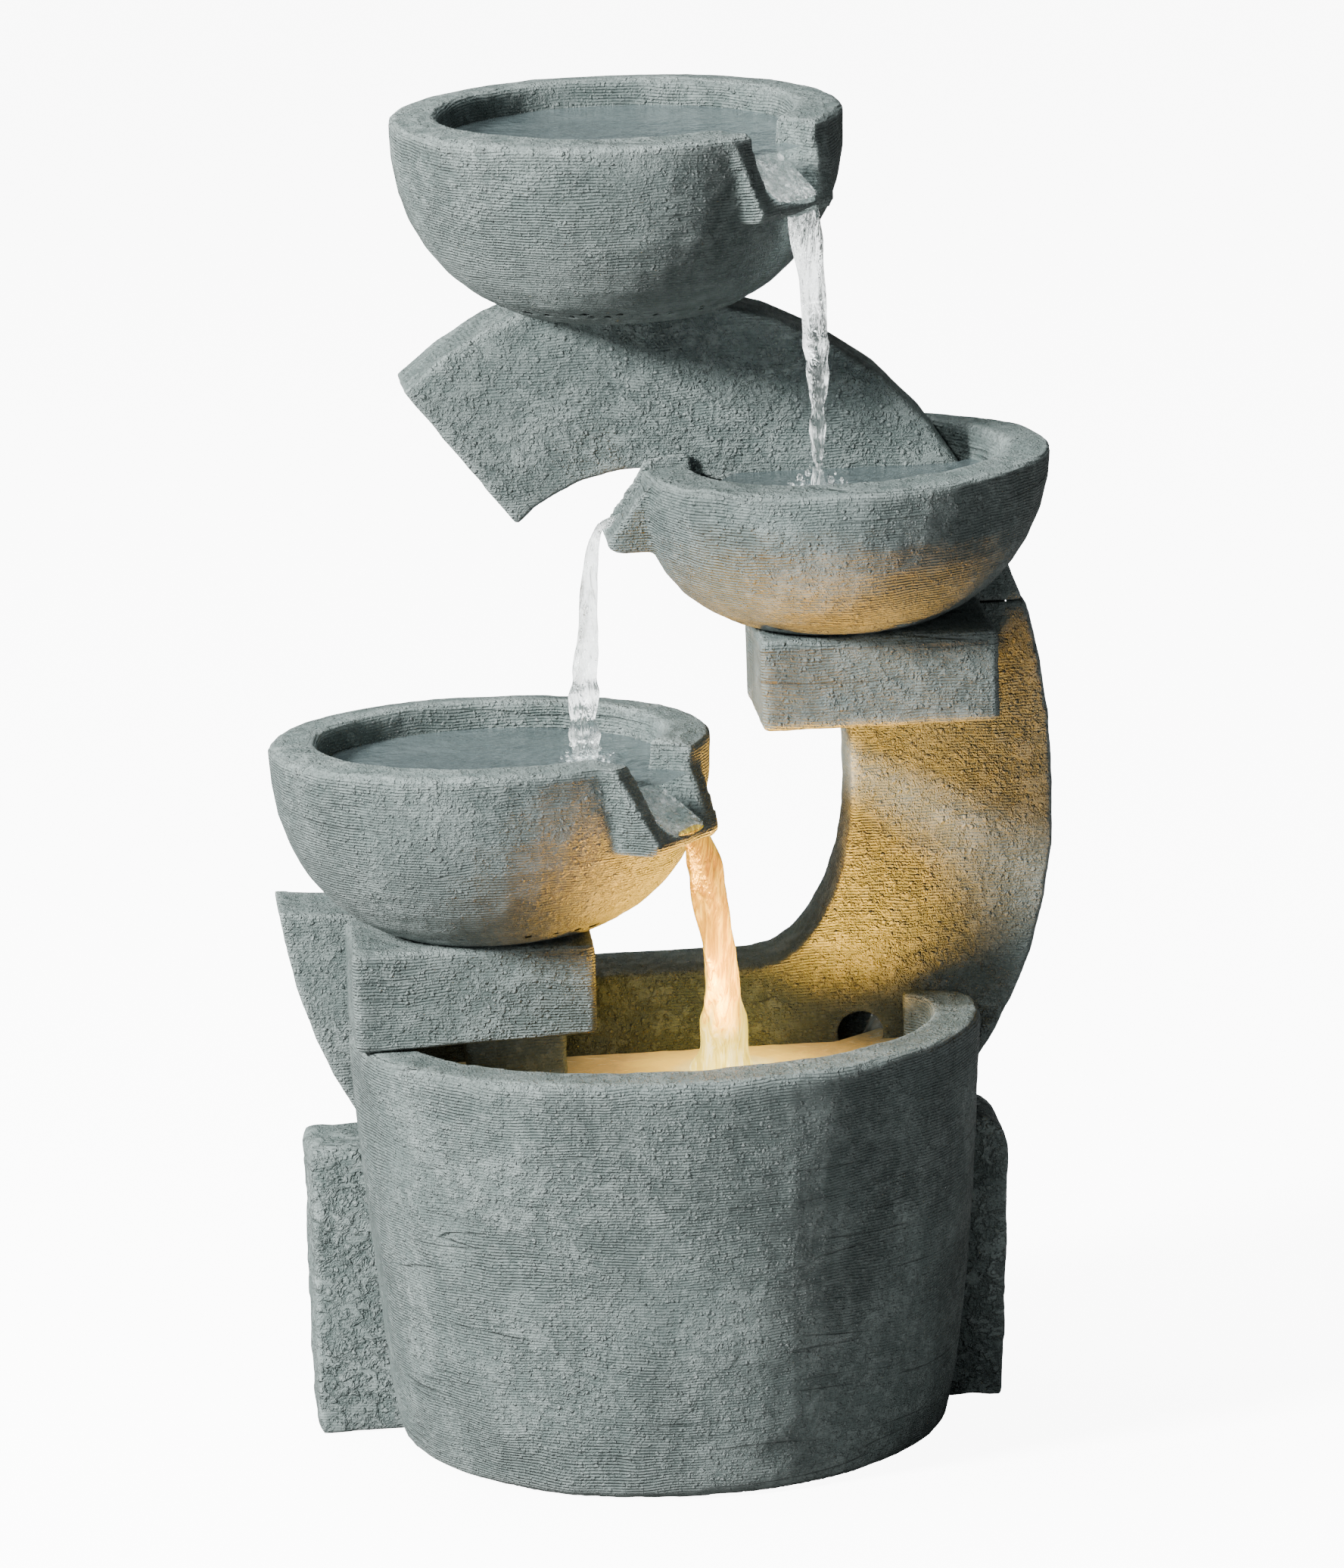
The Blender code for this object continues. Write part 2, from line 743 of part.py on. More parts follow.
def make_blocks():
    back = ring_front - seat_gap
    bottom = basin_height + seat_gap
    outline = [
        (lower_block_left, bottom), (lower_block_right, lower_block_underside(lower_block_right)),
        (lower_block_right, lower_block_top), (lower_block_left, lower_block_top),
    ]
    lower = solid("lower_block", plate_shape(outline, lower_block_front, back), "stone")
    soften(lower, block_edge)
    wall = stone_wall
    inner = inset(outline, wall)
    cut(lower, solid("lower_block_hollow", plate_shape(inner, lower_block_front + wall, back - wall)))
    mouth = box_shape(
        (pedestal_left_top + wall, pedestal_front + wall, bottom - 0.01),
        (pedestal_right - wall, back - 3 * wall, bottom + 2 * wall),
    )
    cut(lower, solid("lower_block_mouth", mouth))
    low = (middle_block_left, middle_block_front, middle_block_bottom)
    middle = solid("middle_block", box_shape(low, (middle_block_right, back, middle_block_top)), "stone")
    soften(middle, block_edge)
    low = [value + wall for value in low]
    high = (middle_block_right - wall, back + 0.01, middle_block_top - wall)
    cut(middle, solid("middle_block_hollow", box_shape(low, high)))


def make_pedestal():
    bottom = basin_floor + seat_gap
    outline = [
        (pedestal_left_bottom, bottom), (pedestal_right, bottom),
        (pedestal_right, lower_block_underside(pedestal_right) - seat_gap),
        (pedestal_left_top, lower_block_underside(pedestal_left_top) - seat_gap),
    ]
    back = ring_front - 1.5 * basin_back_wall
    pedestal = solid("lower_pedestal", plate_shape(outline, pedestal_front, back), "stone")
    soften(pedestal, block_edge)
    wall = stone_wall
    inner = inset(outline, wall)
    inner = [(x, bottom - 0.01 if z < 0.1 else z) for x, z in inner]
    cut(pedestal, solid("pedestal_hollow", plate_shape(inner, pedestal_front + wall, back - wall)))


def bowl_side(radius, height, base, top, steps):
    """(radius, height) points up a bowl's side, from base height to top height."""
    half = height / (1 - bowl_base_share**bowl_roundness) ** (1 / bowl_roundness)
    found = []
    for i in range(steps + 1):
        z = base + (top - base) * (i / steps) ** 1.5
        share = min((height - z) / half, 1.0)
        found.append((radius * (1 - share**bowl_roundness) ** (1 / bowl_roundness), z))
    return found


def rim_distance(bowl):
    """How far the oval rim is from the bowl's middle, in the spout's direction."""
    angle = math.radians(bowl["spout_angle"])
    return bowl["radius"] / math.hypot(math.cos(angle), math.sin(angle) / bowl["oval"])


def spout_prism(profile, top_width, lip_width, top, lip, side_shift=0.0):
    """A prism along the spout, as wide as its height says, from a profile of (reach, height) points."""
    shape = bmesh.new()
    sides = []
    for sign in (-1, 1):
        side = []
        for reach, z in profile:
            share = (z - lip) / (top - lip)
            half = (lip_width + (top_width - lip_width) * share) / 2
            side.append(shape.verts.new((reach, side_shift + sign * half, z)))
        sides.append(side)
    left, right = sides
    for i in range(len(profile)):
        j = (i + 1) % len(profile)
        shape.faces.new((left[i], left[j], right[j], right[i]))
    shape.faces.new(list(reversed(left)))
    shape.faces.new(right)
    return shape


def make_bowl(name, bowl):
    radius, height, rim = bowl["radius"], bowl["height"], bowl["rim"]
    depth, edge = bowl["depth"], bowl_edge
    outer = bowl_side(radius, height, 0, height - edge, 8)
    inner_radius = radius - rim
    inner = bowl_side(inner_radius, depth, 0, depth - edge, 5)
    inner = [(r, z + height - depth) for r, z in inner]
    profile = [(0, height - depth)] + inner
    profile += [(inner_radius + edge * 0.7, height), (radius - edge, height - bowl_rim_slope)]
    profile += list(reversed(outer)) + [(0, 0)]
    place = Matrix.Translation((bowl["x"], bowl["y"], bowl["base"])) @ Matrix.Diagonal((1, bowl["oval"], 1, 1))

    def leaned(shape):
        # The rim leans, and the flat base may stand off the rim's middle.
        for point in shape.verts:
            share = point.co.z / height
            point.co.z += bowl["lean"] * point.co.x * share
            point.co.x += bowl["foot"][0] * (1 - share)
            point.co.y += bowl["foot"][1] * (1 - share)
        return shape

    body = solid(name, leaned(turned_shape(profile, bowl_turns)), "stone", place)
    wall = bowl_wall
    skin = bowl_side(radius - wall, height, wall, height - 1.6 * wall, 6)
    under = bowl_side(inner_radius + wall, depth + wall, 0, depth - 1.6 * wall, 5)
    under = [(r, z + height - depth - wall) for r, z in under if r < radius - 2.5 * wall]
    cavity = [(0, height - depth - wall)] + under + list(reversed(skin)) + [(0, wall)]
    cut(body, solid(name + "_cavity", leaned(turned_shape(cavity, bowl_turns)), None, place.copy()))
    add_spout(name, bowl, body)
    return body


def add_spout(name, bowl, body):
    height, widths = bowl["height"], bowl["spout"]
    rim = rim_distance(bowl)
    turn = Matrix.Rotation(math.radians(bowl["spout_angle"]), 4, "Z")
    place = Matrix.Translation((bowl["x"], bowl["y"], bowl["base"])) @ turn
    tilt = bowl["lean"] * math.cos(math.radians(bowl["spout_angle"])) * rim
    top = height - bowl_rim_slope + tilt
    lip = top - bowl["lip_drop"]
    start = rim - bowl["rim"] + 0.001
    front = rim - 0.006
    nose = rim + bowl["lip_reach"]
    back = nose - 0.010
    profile = [
        (start, top), (front, top), (nose, lip), (nose - 0.003, lip - spout_skirt * 0.7),
        (back, lip - spout_skirt), (start, lip - spout_skirt),
    ]
    block = spout_prism(profile, widths["top"], widths["lip"], top, lip)
    join(body, solid(name + "_spout", block, None, place))
    over = 0.012
    profile = [
        (start - 0.02, top + over), (start - 0.02, top - channel_depth), (start + 0.002, top - channel_depth),
        (nose + 0.004, lip + 0.001), (nose + 0.03, lip + 0.001), (nose + 0.03, top + over),
    ]
    channel = spout_prism(
        profile, widths["channel_top"], widths["channel_lip"], top, lip, widths["channel_side"]
    )
    cut(body, solid(name + "_channel", channel, None, place))


def band_outline():
    """The ring between its two edges, from its low wall round to the blade, as the middle bowl's slot."""
    low = lower_outer_edge(low_wall_top, 0.0)[:-1]
    return low + upper_outer_edge() + upper_inner_edge()[:-1] + lower_inner_edge()[:9]


def make_bowls():
    upper = make_bowl("upper_bowl", upper_bowl)
    base = upper_bowl["base"]
    hole = rod_shape((riser_x, riser_y, base - 0.01), (riser_x, riser_y, base + 0.07), riser_radius + 0.0004)
    cut(upper, solid("upper_bowl_riser_hole", hole))
    middle = make_bowl("middle_bowl", middle_bowl)
    slab = plate_shape(inset(band_outline(), -seat_gap), ring_front - seat_gap, ring_back + 4 * seat_gap)
    cut(middle, solid("middle_bowl_slot", slab))
    lower = make_bowl("lower_bowl", lower_bowl)
    x, y, base = lower_bowl["x"], lower_bowl["y"], lower_bowl["base"]
    vent = rod_shape((x, y, base - 0.01), (x, y, base + 0.012), 0.012)
    cut(lower, solid("lower_bowl_vent", vent))


def make_riser():
    """The elbow that carries the hose into the upper bowl, with its capped and slotted top, washer and nut."""
    floor = upper_bowl["base"] + upper_bowl["height"] - upper_bowl["depth"]
    top = floor + washer_height + nut_height + riser_rise
    x, y = riser_x, riser_y
    riser = solid("riser_elbow", rod_shape((x, y, riser_low_z), (x, y, top), riser_radius), "grey_plastic")
    arm = rod_shape((x, y, riser_inlet_z), (riser_inlet_x, y, riser_inlet_z), hose_radius - 0.0003)
    join(riser, solid("riser_arm", arm))
    roof = top - riser_cap
    bore = rod_shape((x, y, riser_inlet_z - riser_bore), (x, y, roof), riser_bore)
    cut(riser, solid("riser_bore", bore))
    half, reach, sill = riser_slot_width / 2, riser_radius + 0.001, roof - riser_slot_height
    for i, (wide, deep) in enumerate(((reach, half), (half, reach))):
        slot = box_shape((x - wide, y - deep, sill), (x + wide, y + deep, roof))
        cut(riser, solid(f"riser_slot_{i + 1}", slot))
    bore = rod_shape((x, y, riser_inlet_z), (riser_inlet_x + 0.01, y, riser_inlet_z), riser_bore)
    cut(riser, solid("riser_arm_bore", bore))
    low = floor + seat_gap
    inner = riser_radius + seat_gap
    place = Matrix.Translation((x, y, 0))
    washer = ring_shape(nut_radius, inner, low, low + washer_height)
    solid("riser_washer", washer, "rubber", place)
    low += washer_height + seat_gap
    nut = bmesh.new()
    bmesh.ops.create_cone(
        nut, cap_ends=True, segments=6, radius1=nut_radius, radius2=nut_radius, depth=nut_height,
        matrix=Matrix.Translation((x, y, low + nut_height / 2)),
    )
    nut = solid("riser_nut", nut, "grey_plastic")
    cut(nut, solid("nut_bore", rod_shape((x, y, low - 0.01), (x, y, low + 0.02), inner)))


def make_pump_body():
    low = (pump_mouth, pump_y - pump_width / 2, pump_z - pump_height / 2)
    high = (pump_end, pump_y + pump_width / 2, pump_z + pump_height / 2)
    body = solid("pump_body", box_shape(low, high), "black_plastic")
    soften(body, 0.003)
    well_end = pump_mouth + well_depth
    well = rod_shape((pump_mouth - 0.01, pump_y, pump_z), (well_end, pump_y, pump_z), rotor_radius + rotor_gap)
    cut(body, solid("rotor_well", well))
    socket = rod_shape(
        (well_end - 0.001, pump_y, pump_z), (well_end + bush_length, pump_y, pump_z), bush_radius + 0.0001
    )
    cut(body, solid("rear_bush_socket", socket))


def make_bushes_and_shaft():
    well_end = pump_mouth + well_depth
    inner = shaft_radius + 0.0001
    front = pump_mouth - seat_gap - volute_length + volute_wall
    for name, x in (("bush_rear", well_end - seat_gap), ("bush_front", front + 0.0002)):
        shape = ring_shape(bush_radius, inner, 0, bush_length, 16)
        solid(name, shape, "rubber", along_x(x, pump_y, pump_z))
    end = well_end + bush_length - 0.0006
    shaft = rod_shape((front + 0.0005, pump_y, pump_z), (end, pump_y, pump_z), shaft_radius, 12)
    solid("impeller_shaft", shaft, "ceramic")


def make_volute():
    """The chamber round the impeller, with its intake holes and the nozzle that points up."""
    back = pump_mouth - seat_gap
    front = back - volute_length
    cover = solid(
        "volute_cover", rod_shape((front, pump_y, pump_z), (back, pump_y, pump_z), volute_radius, 28),
        "black_plastic",
    )
    nozzle = rod_shape((nozzle_x, nozzle_y, pump_z), (nozzle_x, nozzle_y, nozzle_top), nozzle_radius)
    join(cover, solid("nozzle", nozzle))
    pocket = rod_shape(
        (front + volute_wall, pump_y, pump_z), (back + 0.01, pump_y, pump_z), volute_radius - volute_wall, 28
    )
    cut(cover, solid("volute_pocket", pocket))
    bore = rod_shape((nozzle_x, nozzle_y, pump_z), (nozzle_x, nozzle_y, nozzle_top + 0.01), nozzle_bore)
    cut(cover, solid("nozzle_bore", bore))
    boss = ring_shape(bush_radius + 0.0014, bush_radius + 0.0001, 0, bush_length, 16)
    join(cover, solid("front_boss", boss, None, along_x(front + volute_wall - 0.0002, pump_y, pump_z)))
    for i in range(4):
        angle = math.radians(45 + 90 * i)
        y = pump_y + intake_ring_radius * math.cos(angle)
        z = pump_z + intake_ring_radius * math.sin(angle)
        hole = rod_shape((front - 0.01, y, z), (front + volute_wall + 0.002, y, z), intake_hole_radius, 12)
        cut(cover, solid(f"intake_hole_{i + 1}", hole))


def make_impeller():
    """Hub, vanes and magnet in one piece, turning on the shaft."""
    front = pump_mouth - seat_gap - volute_length + volute_wall + bush_length + 2 * seat_gap
    vane_end = front + vane_length
    disc_end = vane_end + 0.0012
    bore = shaft_radius + shaft_clearance
    profile = [
        (bore, rotor_end - front), (rotor_radius, rotor_end - front), (rotor_radius, disc_end - front),
        (impeller_radius, disc_end - front), (impeller_radius, vane_end - front),
        (hub_radius, vane_end - front), (hub_radius, 0), (bore, 0),
    ]
    rotor = solid("impeller", turned_shape(profile, 24, closed=True), "magnet", along_x(front, pump_y, pump_z))
    half = vane_thick / 2
    for i in range(vane_count):
        low = (0, -half, hub_radius - half)
        vane = box_shape(low, (vane_length + 0.0004, half, impeller_radius - seat_gap))
        turn = Matrix.Rotation(2 * math.pi * i / vane_count, 4, "X")
        place = Matrix.Translation((front, pump_y, pump_z)) @ turn
        join(rotor, solid(f"vane_{i + 1}", vane, None, place))
    set_origin(rotor, (front, pump_y, pump_z))


def strainer_front():
    return pump_mouth - seat_gap - strainer_length


def make_strainer():
    """The slotted cage over the intake, open towards the motor, which slides off to the left."""
    half_y, half_z = pump_width / 2 + 0.0005, pump_height / 2
    front, back = strainer_front(), pump_mouth - seat_gap
    low = (front, pump_y - half_y, pump_z - half_z + seat_gap)
    high = (back, pump_y + half_y, pump_z + half_z)
    cage = solid("intake_strainer", box_shape(low, high), "black_plastic")
    soften(cage, 0.0012)
    wall = strainer_wall
    inside = box_shape([v + wall for v in low], (back + 0.01, high[1] - wall, high[2] - wall))
    cut(cage, solid("strainer_inside", inside))
    slot = nozzle_radius + 0.0008
    gate = box_shape((nozzle_x - slot, nozzle_y - slot, pump_z + 0.005), (back + 0.01, nozzle_y + slot, 0.07))
    cut(cage, solid("nozzle_gate", gate))
    half_long, half_tall = strainer_slot_length / 2, strainer_slot / 2
    for i in range(strainer_slots):
        z = pump_z + strainer_slot_pitch * (i - (strainer_slots - 1) / 2)
        for side, y in (("front", pump_y - strainer_slot_offset), ("back", pump_y + strainer_slot_offset)):
            low = (front - 0.01, y - half_long, z - half_tall)
            high = (front + wall + 0.002, y + half_long, z + half_tall)
            cut(cage, solid(f"grille_{side}_{i + 1}", box_shape(low, high)))
    hole = rod_shape((front - 0.01, pump_y, pump_z), (front + 0.01, pump_y, pump_z), dial_stem + 0.0003, 16)
    cut(cage, solid("dial_hole", hole))


def make_dial():
    """The flow regulator on the strainer's face."""
    back = strainer_front() - seat_gap
    rim = dial_radius
    profile = [
        (0, 0), (rim * 0.85, 0), (rim, 0.001), (rim, dial_thick), (dial_stem, dial_thick),
        (dial_stem, dial_thick + dial_stem_length), (0, dial_thick + dial_stem_length),
    ]
    place = along_x(back - dial_thick, pump_y, pump_z)
    dial = solid("flow_dial", turned_shape(profile, 20), "grey_plastic", place)
    front = back - dial_thick
    half_thick, half_long = dial_ridge / 2, rim * 0.8
    low = (front - dial_ridge, pump_y - half_thick, pump_z - half_long)
    high = (front + 0.001, pump_y + half_thick, pump_z + half_long)
    join(dial, solid("dial_ridge", box_shape(low, high)))
    set_origin(dial, (back, pump_y, pump_z))


def make_pump_base():
    """The foot plate with its four suction cups on the plinth's floor."""
    top = pump_z - pump_height / 2 - seat_gap
    bottom = top - base_thick
    low = (pump_mouth - 0.010, pump_y - 0.018, bottom)
    high = (pump_end, pump_y + 0.018, top)
    plate = solid("pump_base", box_shape(low, high), "black_plastic")
    neck = 0.0022
    places = [(x, y) for x in (low[0] + 0.008, high[0] - 0.008) for y in (low[1] + 0.008, high[1] - 0.008)]
    for i, (x, y) in enumerate(places):
        hole = rod_shape((x, y, bottom - 0.01), (x, y, top + 0.01), neck + 0.0003, 12)
        cut(plate, solid(f"cup_hole_{i + 1}", hole))
        floor = plinth_floor + seat_gap
        rise = cup_height
        profile = [
            (0, rise + base_thick), (neck, rise + base_thick), (neck, rise), (cup_radius * 0.55, rise),
            (cup_radius, 0), (cup_radius * 0.88, 0), (cup_radius * 0.45, rise * 0.55), (0, rise * 0.6),
        ]
        cup = turned_shape(profile, 16)
        solid(f"suction_cup_{i + 1}", cup, "rubber", Matrix.Translation((x, y, floor)))


def make_hose_adapter():
    low = nozzle_top - adapter_skirt
    socket = nozzle_radius + 0.0002
    profile = [(nozzle_bore, adapter_top)]
    for top in (adapter_top, adapter_top - barb_pitch):
        profile += [(barb_neck, top), (barb_radius, top - barb_pitch), (barb_neck, top - barb_pitch)]
    del profile[4]
    profile += [
        (barb_neck, nozzle_top + 0.004), (adapter_radius, nozzle_top + 0.003), (adapter_radius, low),
        (socket, low), (socket, nozzle_top + seat_gap), (nozzle_bore, nozzle_top + seat_gap),
    ]
    shape = turned_shape(profile, 20, closed=True)
    solid("hose_adapter", shape, "grey_plastic", Matrix.Translation((nozzle_x, nozzle_y, 0)))


def smooth_route(points, steps):
    """Points along a smooth curve through the given ones."""
    points = [Vector(p) for p in points]
    ends = [points[0] * 2 - points[1]] + points + [points[-1] * 2 - points[-2]]
    found = []
    for a, b, c, d in zip(ends, ends[1:], ends[2:], ends[3:]):
        for i in range(steps):
            t = i / steps
            found.append(
                b + (c - a) * (t / 2) + (a * 2 - b * 5 + c * 4 - d) * (t * t / 2)
                + (b * 3 - a - c * 3 + d) * (t**3 / 2)
            )
    return found + [points[-1]]


def make_tube(name, route, radius, finish, steps, fineness=2):
    curve = bpy.data.curves.new(name, "CURVE")
    curve.dimensions = "3D"
    curve.bevel_depth = radius
    curve.bevel_resolution = fineness
    curve.use_fill_caps = True
    places = smooth_route(route, steps)
    spline = curve.splines.new("POLY")
    spline.points.add(len(places) - 1)
    for point, place in zip(spline.points, places):
        point.co = (*place, 1)
    tube = bpy.data.objects.new(name, curve)
    parts.objects.link(tube)
    curve.materials.append(finish_material(finish))


def make_hose():
    """From the pump's adapter, up inside the ring, to the riser's arm."""
    route = [
        (nozzle_x, nozzle_y, adapter_top + seat_gap), (nozzle_x, nozzle_y, adapter_top + 0.011),
        (nozzle_x, nozzle_y, adapter_top + 0.026),
        *((ring_x + ring_half_width * reach, riser_y, z) for reach, z in hose_places),
        (riser_inlet_x + 0.012, riser_y, riser_inlet_z),
        (riser_inlet_x + 2 * seat_gap, riser_y, riser_inlet_z),
    ]
    make_tube("supply_hose", route, hose_radius, "clear_vinyl", 4)


def make_light(index, x, y):
    """A round underwater light: housing, board, lens and clamping ring."""
    name = f"light_{index}"
    floor = basin_floor + seat_gap
    r, h, wall = light_radius, light_height, light_wall
    place = Matrix.Translation((x, y, floor))
    shelf = h * 0.5
    profile = [
        (0, wall), (r - 2.5 * wall, wall), (r - 2.5 * wall, shelf), (r - wall, shelf), (r - wall, h),
        (r, h), (r, h * 0.15), (r * 0.85, 0), (0, 0),
    ]
    solid(name + "_housing", turned_shape(profile, 24), "black_plastic", place)
    board = ring_shape(r - 1.2 * wall, 0.0012, shelf + seat_gap, shelf + 0.0016, 20)
    solid(name + "_board", board, "circuit", place)
    low = shelf + 0.0016 + seat_gap
    lens_r = r - 1.15 * wall
    profile = [
        (0, low + 0.0065), (lens_r * 0.5, low + 0.0055), (lens_r * 0.8, low + 0.0025), (lens_r, low + 0.0020),
        (lens_r, low), (lens_r * 0.8, low), (0, low + 0.0030),
    ]
    solid(name + "_lens", turned_shape(profile, 24), "lens", place)
    ring_low = low + 0.0020 + seat_gap
    ring = ring_shape(lens_r, lens_r * 0.86, ring_low + 0.0002, h, 24)
    solid(name + "_ring", ring, "black_plastic", place)


def make_lights():
    for i, (x, y) in enumerate(light_places):
        make_light(i + 1, x, y)
    splice_end = splice_x + splice_length / 2 + seat_gap
    low = basin_floor + 0.006
    (first_x, first_y), (second_x, second_y) = light_places
    routes = (
        [(first_x, first_y + light_radius + seat_gap, low), (0.0210, -0.015, low), (0.026, 0.010, low + 0.002),
         (0.0372, 0.040, port_z - 0.008), (0.0370, 0.060, port_z - 0.008), (0.0365, 0.073, 0.0235),
         (0.020, 0.086, 0.019), (splice_end, 0.089, 0.0165)],
        [(second_x - light_radius - seat_gap, second_y, low), (0.060, 0.014, low), (0.048, 0.026, low + 0.002),
         (0.0428, 0.043, port_z - 0.008), (0.0428, 0.060, port_z - 0.008), (0.0425, 0.074, 0.0235),
         (0.022, 0.093, 0.019), (splice_end, 0.096, 0.0165)],
    )
    for i, route in enumerate(routes):
        make_tube(f"light_lead_{i + 1}", route, lead_radius, "rubber", 3)


def make_splice():
    """The potted box where the pump's and the lights' leads join the supply lead."""
    floor = plinth_floor + seat_gap
    top = floor + splice_height
    low = (splice_x - splice_length / 2, pump_y - splice_width / 2, floor)
    high = (splice_x + splice_length / 2, pump_y + splice_width / 2, top)
    splice = solid("splice_box", box_shape(low, high), "black_plastic")
    soften(splice, 0.002)
    end = high[0] + seat_gap
    pump_route = [
        (pump_end + 2 * seat_gap, pump_y, pump_z + 0.008), (pump_end + 0.008, pump_y, pump_z + 0.009),
        (pump_end + 0.012, 0.092, 0.060), (0.144, 0.084, 0.075), (0.120, 0.0795, 0.078), (0.088, 0.079, 0.076),
        (0.055, 0.080, 0.070), (0.030, 0.086, 0.050), (0.010, 0.098, 0.027), (end + 0.004, 0.1015, 0.0195),
        (end + seat_gap, 0.1015, 0.019),
    ]
    make_tube("pump_lead", pump_route, lead_radius * 1.25, "rubber", 3)
    back = plinth_back - stone_wall
    supply_route = [
        (splice_x, pump_y, top + seat_gap), (splice_x + 0.004, pump_y, top + 0.020), (0.0, back - 0.0175, 0.070),
        (0.040, back - 0.0095, 0.098), (0.090, back - 0.005, 0.112), (0.130, back - 0.0075, 0.118),
        (0.1485, back - 0.0077, 0.1195), (gland_x + 0.0002, back - 0.0020, gland_z),
    ]
    make_tube("supply_lead", supply_route, lead_radius * 1.25, "rubber", 3)


clear_scene()
parts = new_collection("tiered_bowl_fountain", True)
cutters = new_collection("cutters", False)
bowl_seat = make_bowl_seat()
make_crescents(bowl_seat)
make_back_panels(bowl_seat)
make_door()
make_plinth()
make_drain_plug()
make_cable_gland()
make_basin()
make_blocks()
make_pedestal()
make_bowls()
make_riser()
make_pump_body()
make_bushes_and_shaft()
make_volute()
make_impeller()
make_strainer()
make_dial()
make_pump_base()
make_hose_adapter()
make_hose()
make_lights()
make_splice()
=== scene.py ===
import json
import math
import bpy
import bmesh
import numpy as np
from mathutils import Matrix, Vector
from mathutils.bvhtree import BVHTree


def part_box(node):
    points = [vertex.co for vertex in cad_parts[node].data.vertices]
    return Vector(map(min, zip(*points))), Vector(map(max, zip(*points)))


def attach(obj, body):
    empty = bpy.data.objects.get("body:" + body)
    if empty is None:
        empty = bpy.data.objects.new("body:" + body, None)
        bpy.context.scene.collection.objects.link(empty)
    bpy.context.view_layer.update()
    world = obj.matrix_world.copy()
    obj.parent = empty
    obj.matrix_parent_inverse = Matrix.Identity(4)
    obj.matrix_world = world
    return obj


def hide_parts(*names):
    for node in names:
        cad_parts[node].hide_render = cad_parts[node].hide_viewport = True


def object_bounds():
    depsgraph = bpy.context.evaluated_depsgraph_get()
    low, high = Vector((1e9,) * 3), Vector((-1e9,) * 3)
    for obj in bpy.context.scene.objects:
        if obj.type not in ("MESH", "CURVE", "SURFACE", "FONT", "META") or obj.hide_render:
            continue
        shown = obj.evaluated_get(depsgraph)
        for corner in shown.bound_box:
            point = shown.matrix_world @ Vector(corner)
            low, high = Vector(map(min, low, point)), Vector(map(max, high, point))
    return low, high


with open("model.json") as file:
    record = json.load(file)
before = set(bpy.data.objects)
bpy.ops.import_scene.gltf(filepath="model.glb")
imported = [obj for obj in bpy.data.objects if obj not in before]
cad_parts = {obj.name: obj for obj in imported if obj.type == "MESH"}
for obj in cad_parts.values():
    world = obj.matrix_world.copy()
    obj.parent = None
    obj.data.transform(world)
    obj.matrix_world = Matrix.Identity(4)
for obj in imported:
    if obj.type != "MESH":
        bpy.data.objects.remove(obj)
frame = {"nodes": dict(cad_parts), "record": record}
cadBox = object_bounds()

scene = bpy.context.scene
bodyOf = {node: body for body, nodes in frame["record"]["behaviour"]["bodies"].items() for node in nodes}

# Camera, lights, floor.

view = dict(
    target=(0.0065, 0.0019, 0.3701), azimuth=-4.5, elevation=13.1, roll=2.0, distance=5.5, lens=235.4, film=36.0,
)


def makeCamera():
    turn, rise, roll = (math.radians(view[k]) for k in ("azimuth", "elevation", "roll"))
    back = Vector((math.sin(turn) * math.cos(rise), -math.cos(turn) * math.cos(rise), math.sin(rise)))
    side = (-back).cross(Vector((0, 0, 1))).normalized()
    up = side.cross(-back)
    across = side * math.cos(roll) - up * math.sin(roll)
    upright = side * math.sin(roll) + up * math.cos(roll)
    data = bpy.data.cameras.new("camera")
    data.sensor_fit = "VERTICAL"
    data.sensor_height = view["film"]
    data.lens = view["lens"]
    data.clip_end = 50
    made = bpy.data.objects.new("camera", data)
    scene.collection.objects.link(made)
    axes = Matrix((across, upright, back)).transposed().to_4x4()
    made.matrix_world = Matrix.Translation(Vector(view["target"]) + back * view["distance"]) @ axes
    scene.camera = made


studio = dict(
    # name, place, size, power, colour, seen in reflections
    lamps=(
        ("key", (-3.0, -1.5, 2.2), 0.75, 620.0, (1.0, 0.995, 0.98), True),
        ("front", (-1.0, -3.6, 0.9), 1.2, 17.0, (0.97, 0.99, 1.0), True),
        ("fill", (2.8, -2.6, 1.6), 2.0, 9.0, (0.90, 0.96, 1.0), True),
        ("top", (-0.5, 0.3, 3.0), 1.0, 75.0, (1.0, 1.0, 1.0), False),
        ("rear", (-0.8, 3.0, 2.2), 1.6, 40.0, (1.0, 1.0, 1.0), False),
    ),
    aim=(0.0, 0.0, 0.36), floorGap=0.0006, floorRoughness=0.9, ambient=0.07, backdrop=22.0,
    floorSize=14.0, floorColour=(0.88, 0.89, 0.89), floorBounce=(0.22, 0.22, 0.22), floorGlow=9.0, seenThrough=0.35,
)


def seenDirectly(tree, path):
    # one for what the camera sees, less through clear water, nothing for bounced light
    through = mathNode(tree, "MULTIPLY", path.outputs["Is Transmission Ray"], studio["seenThrough"])
    return mathNode(tree, "ADD", path.outputs["Is Camera Ray"], through, True)


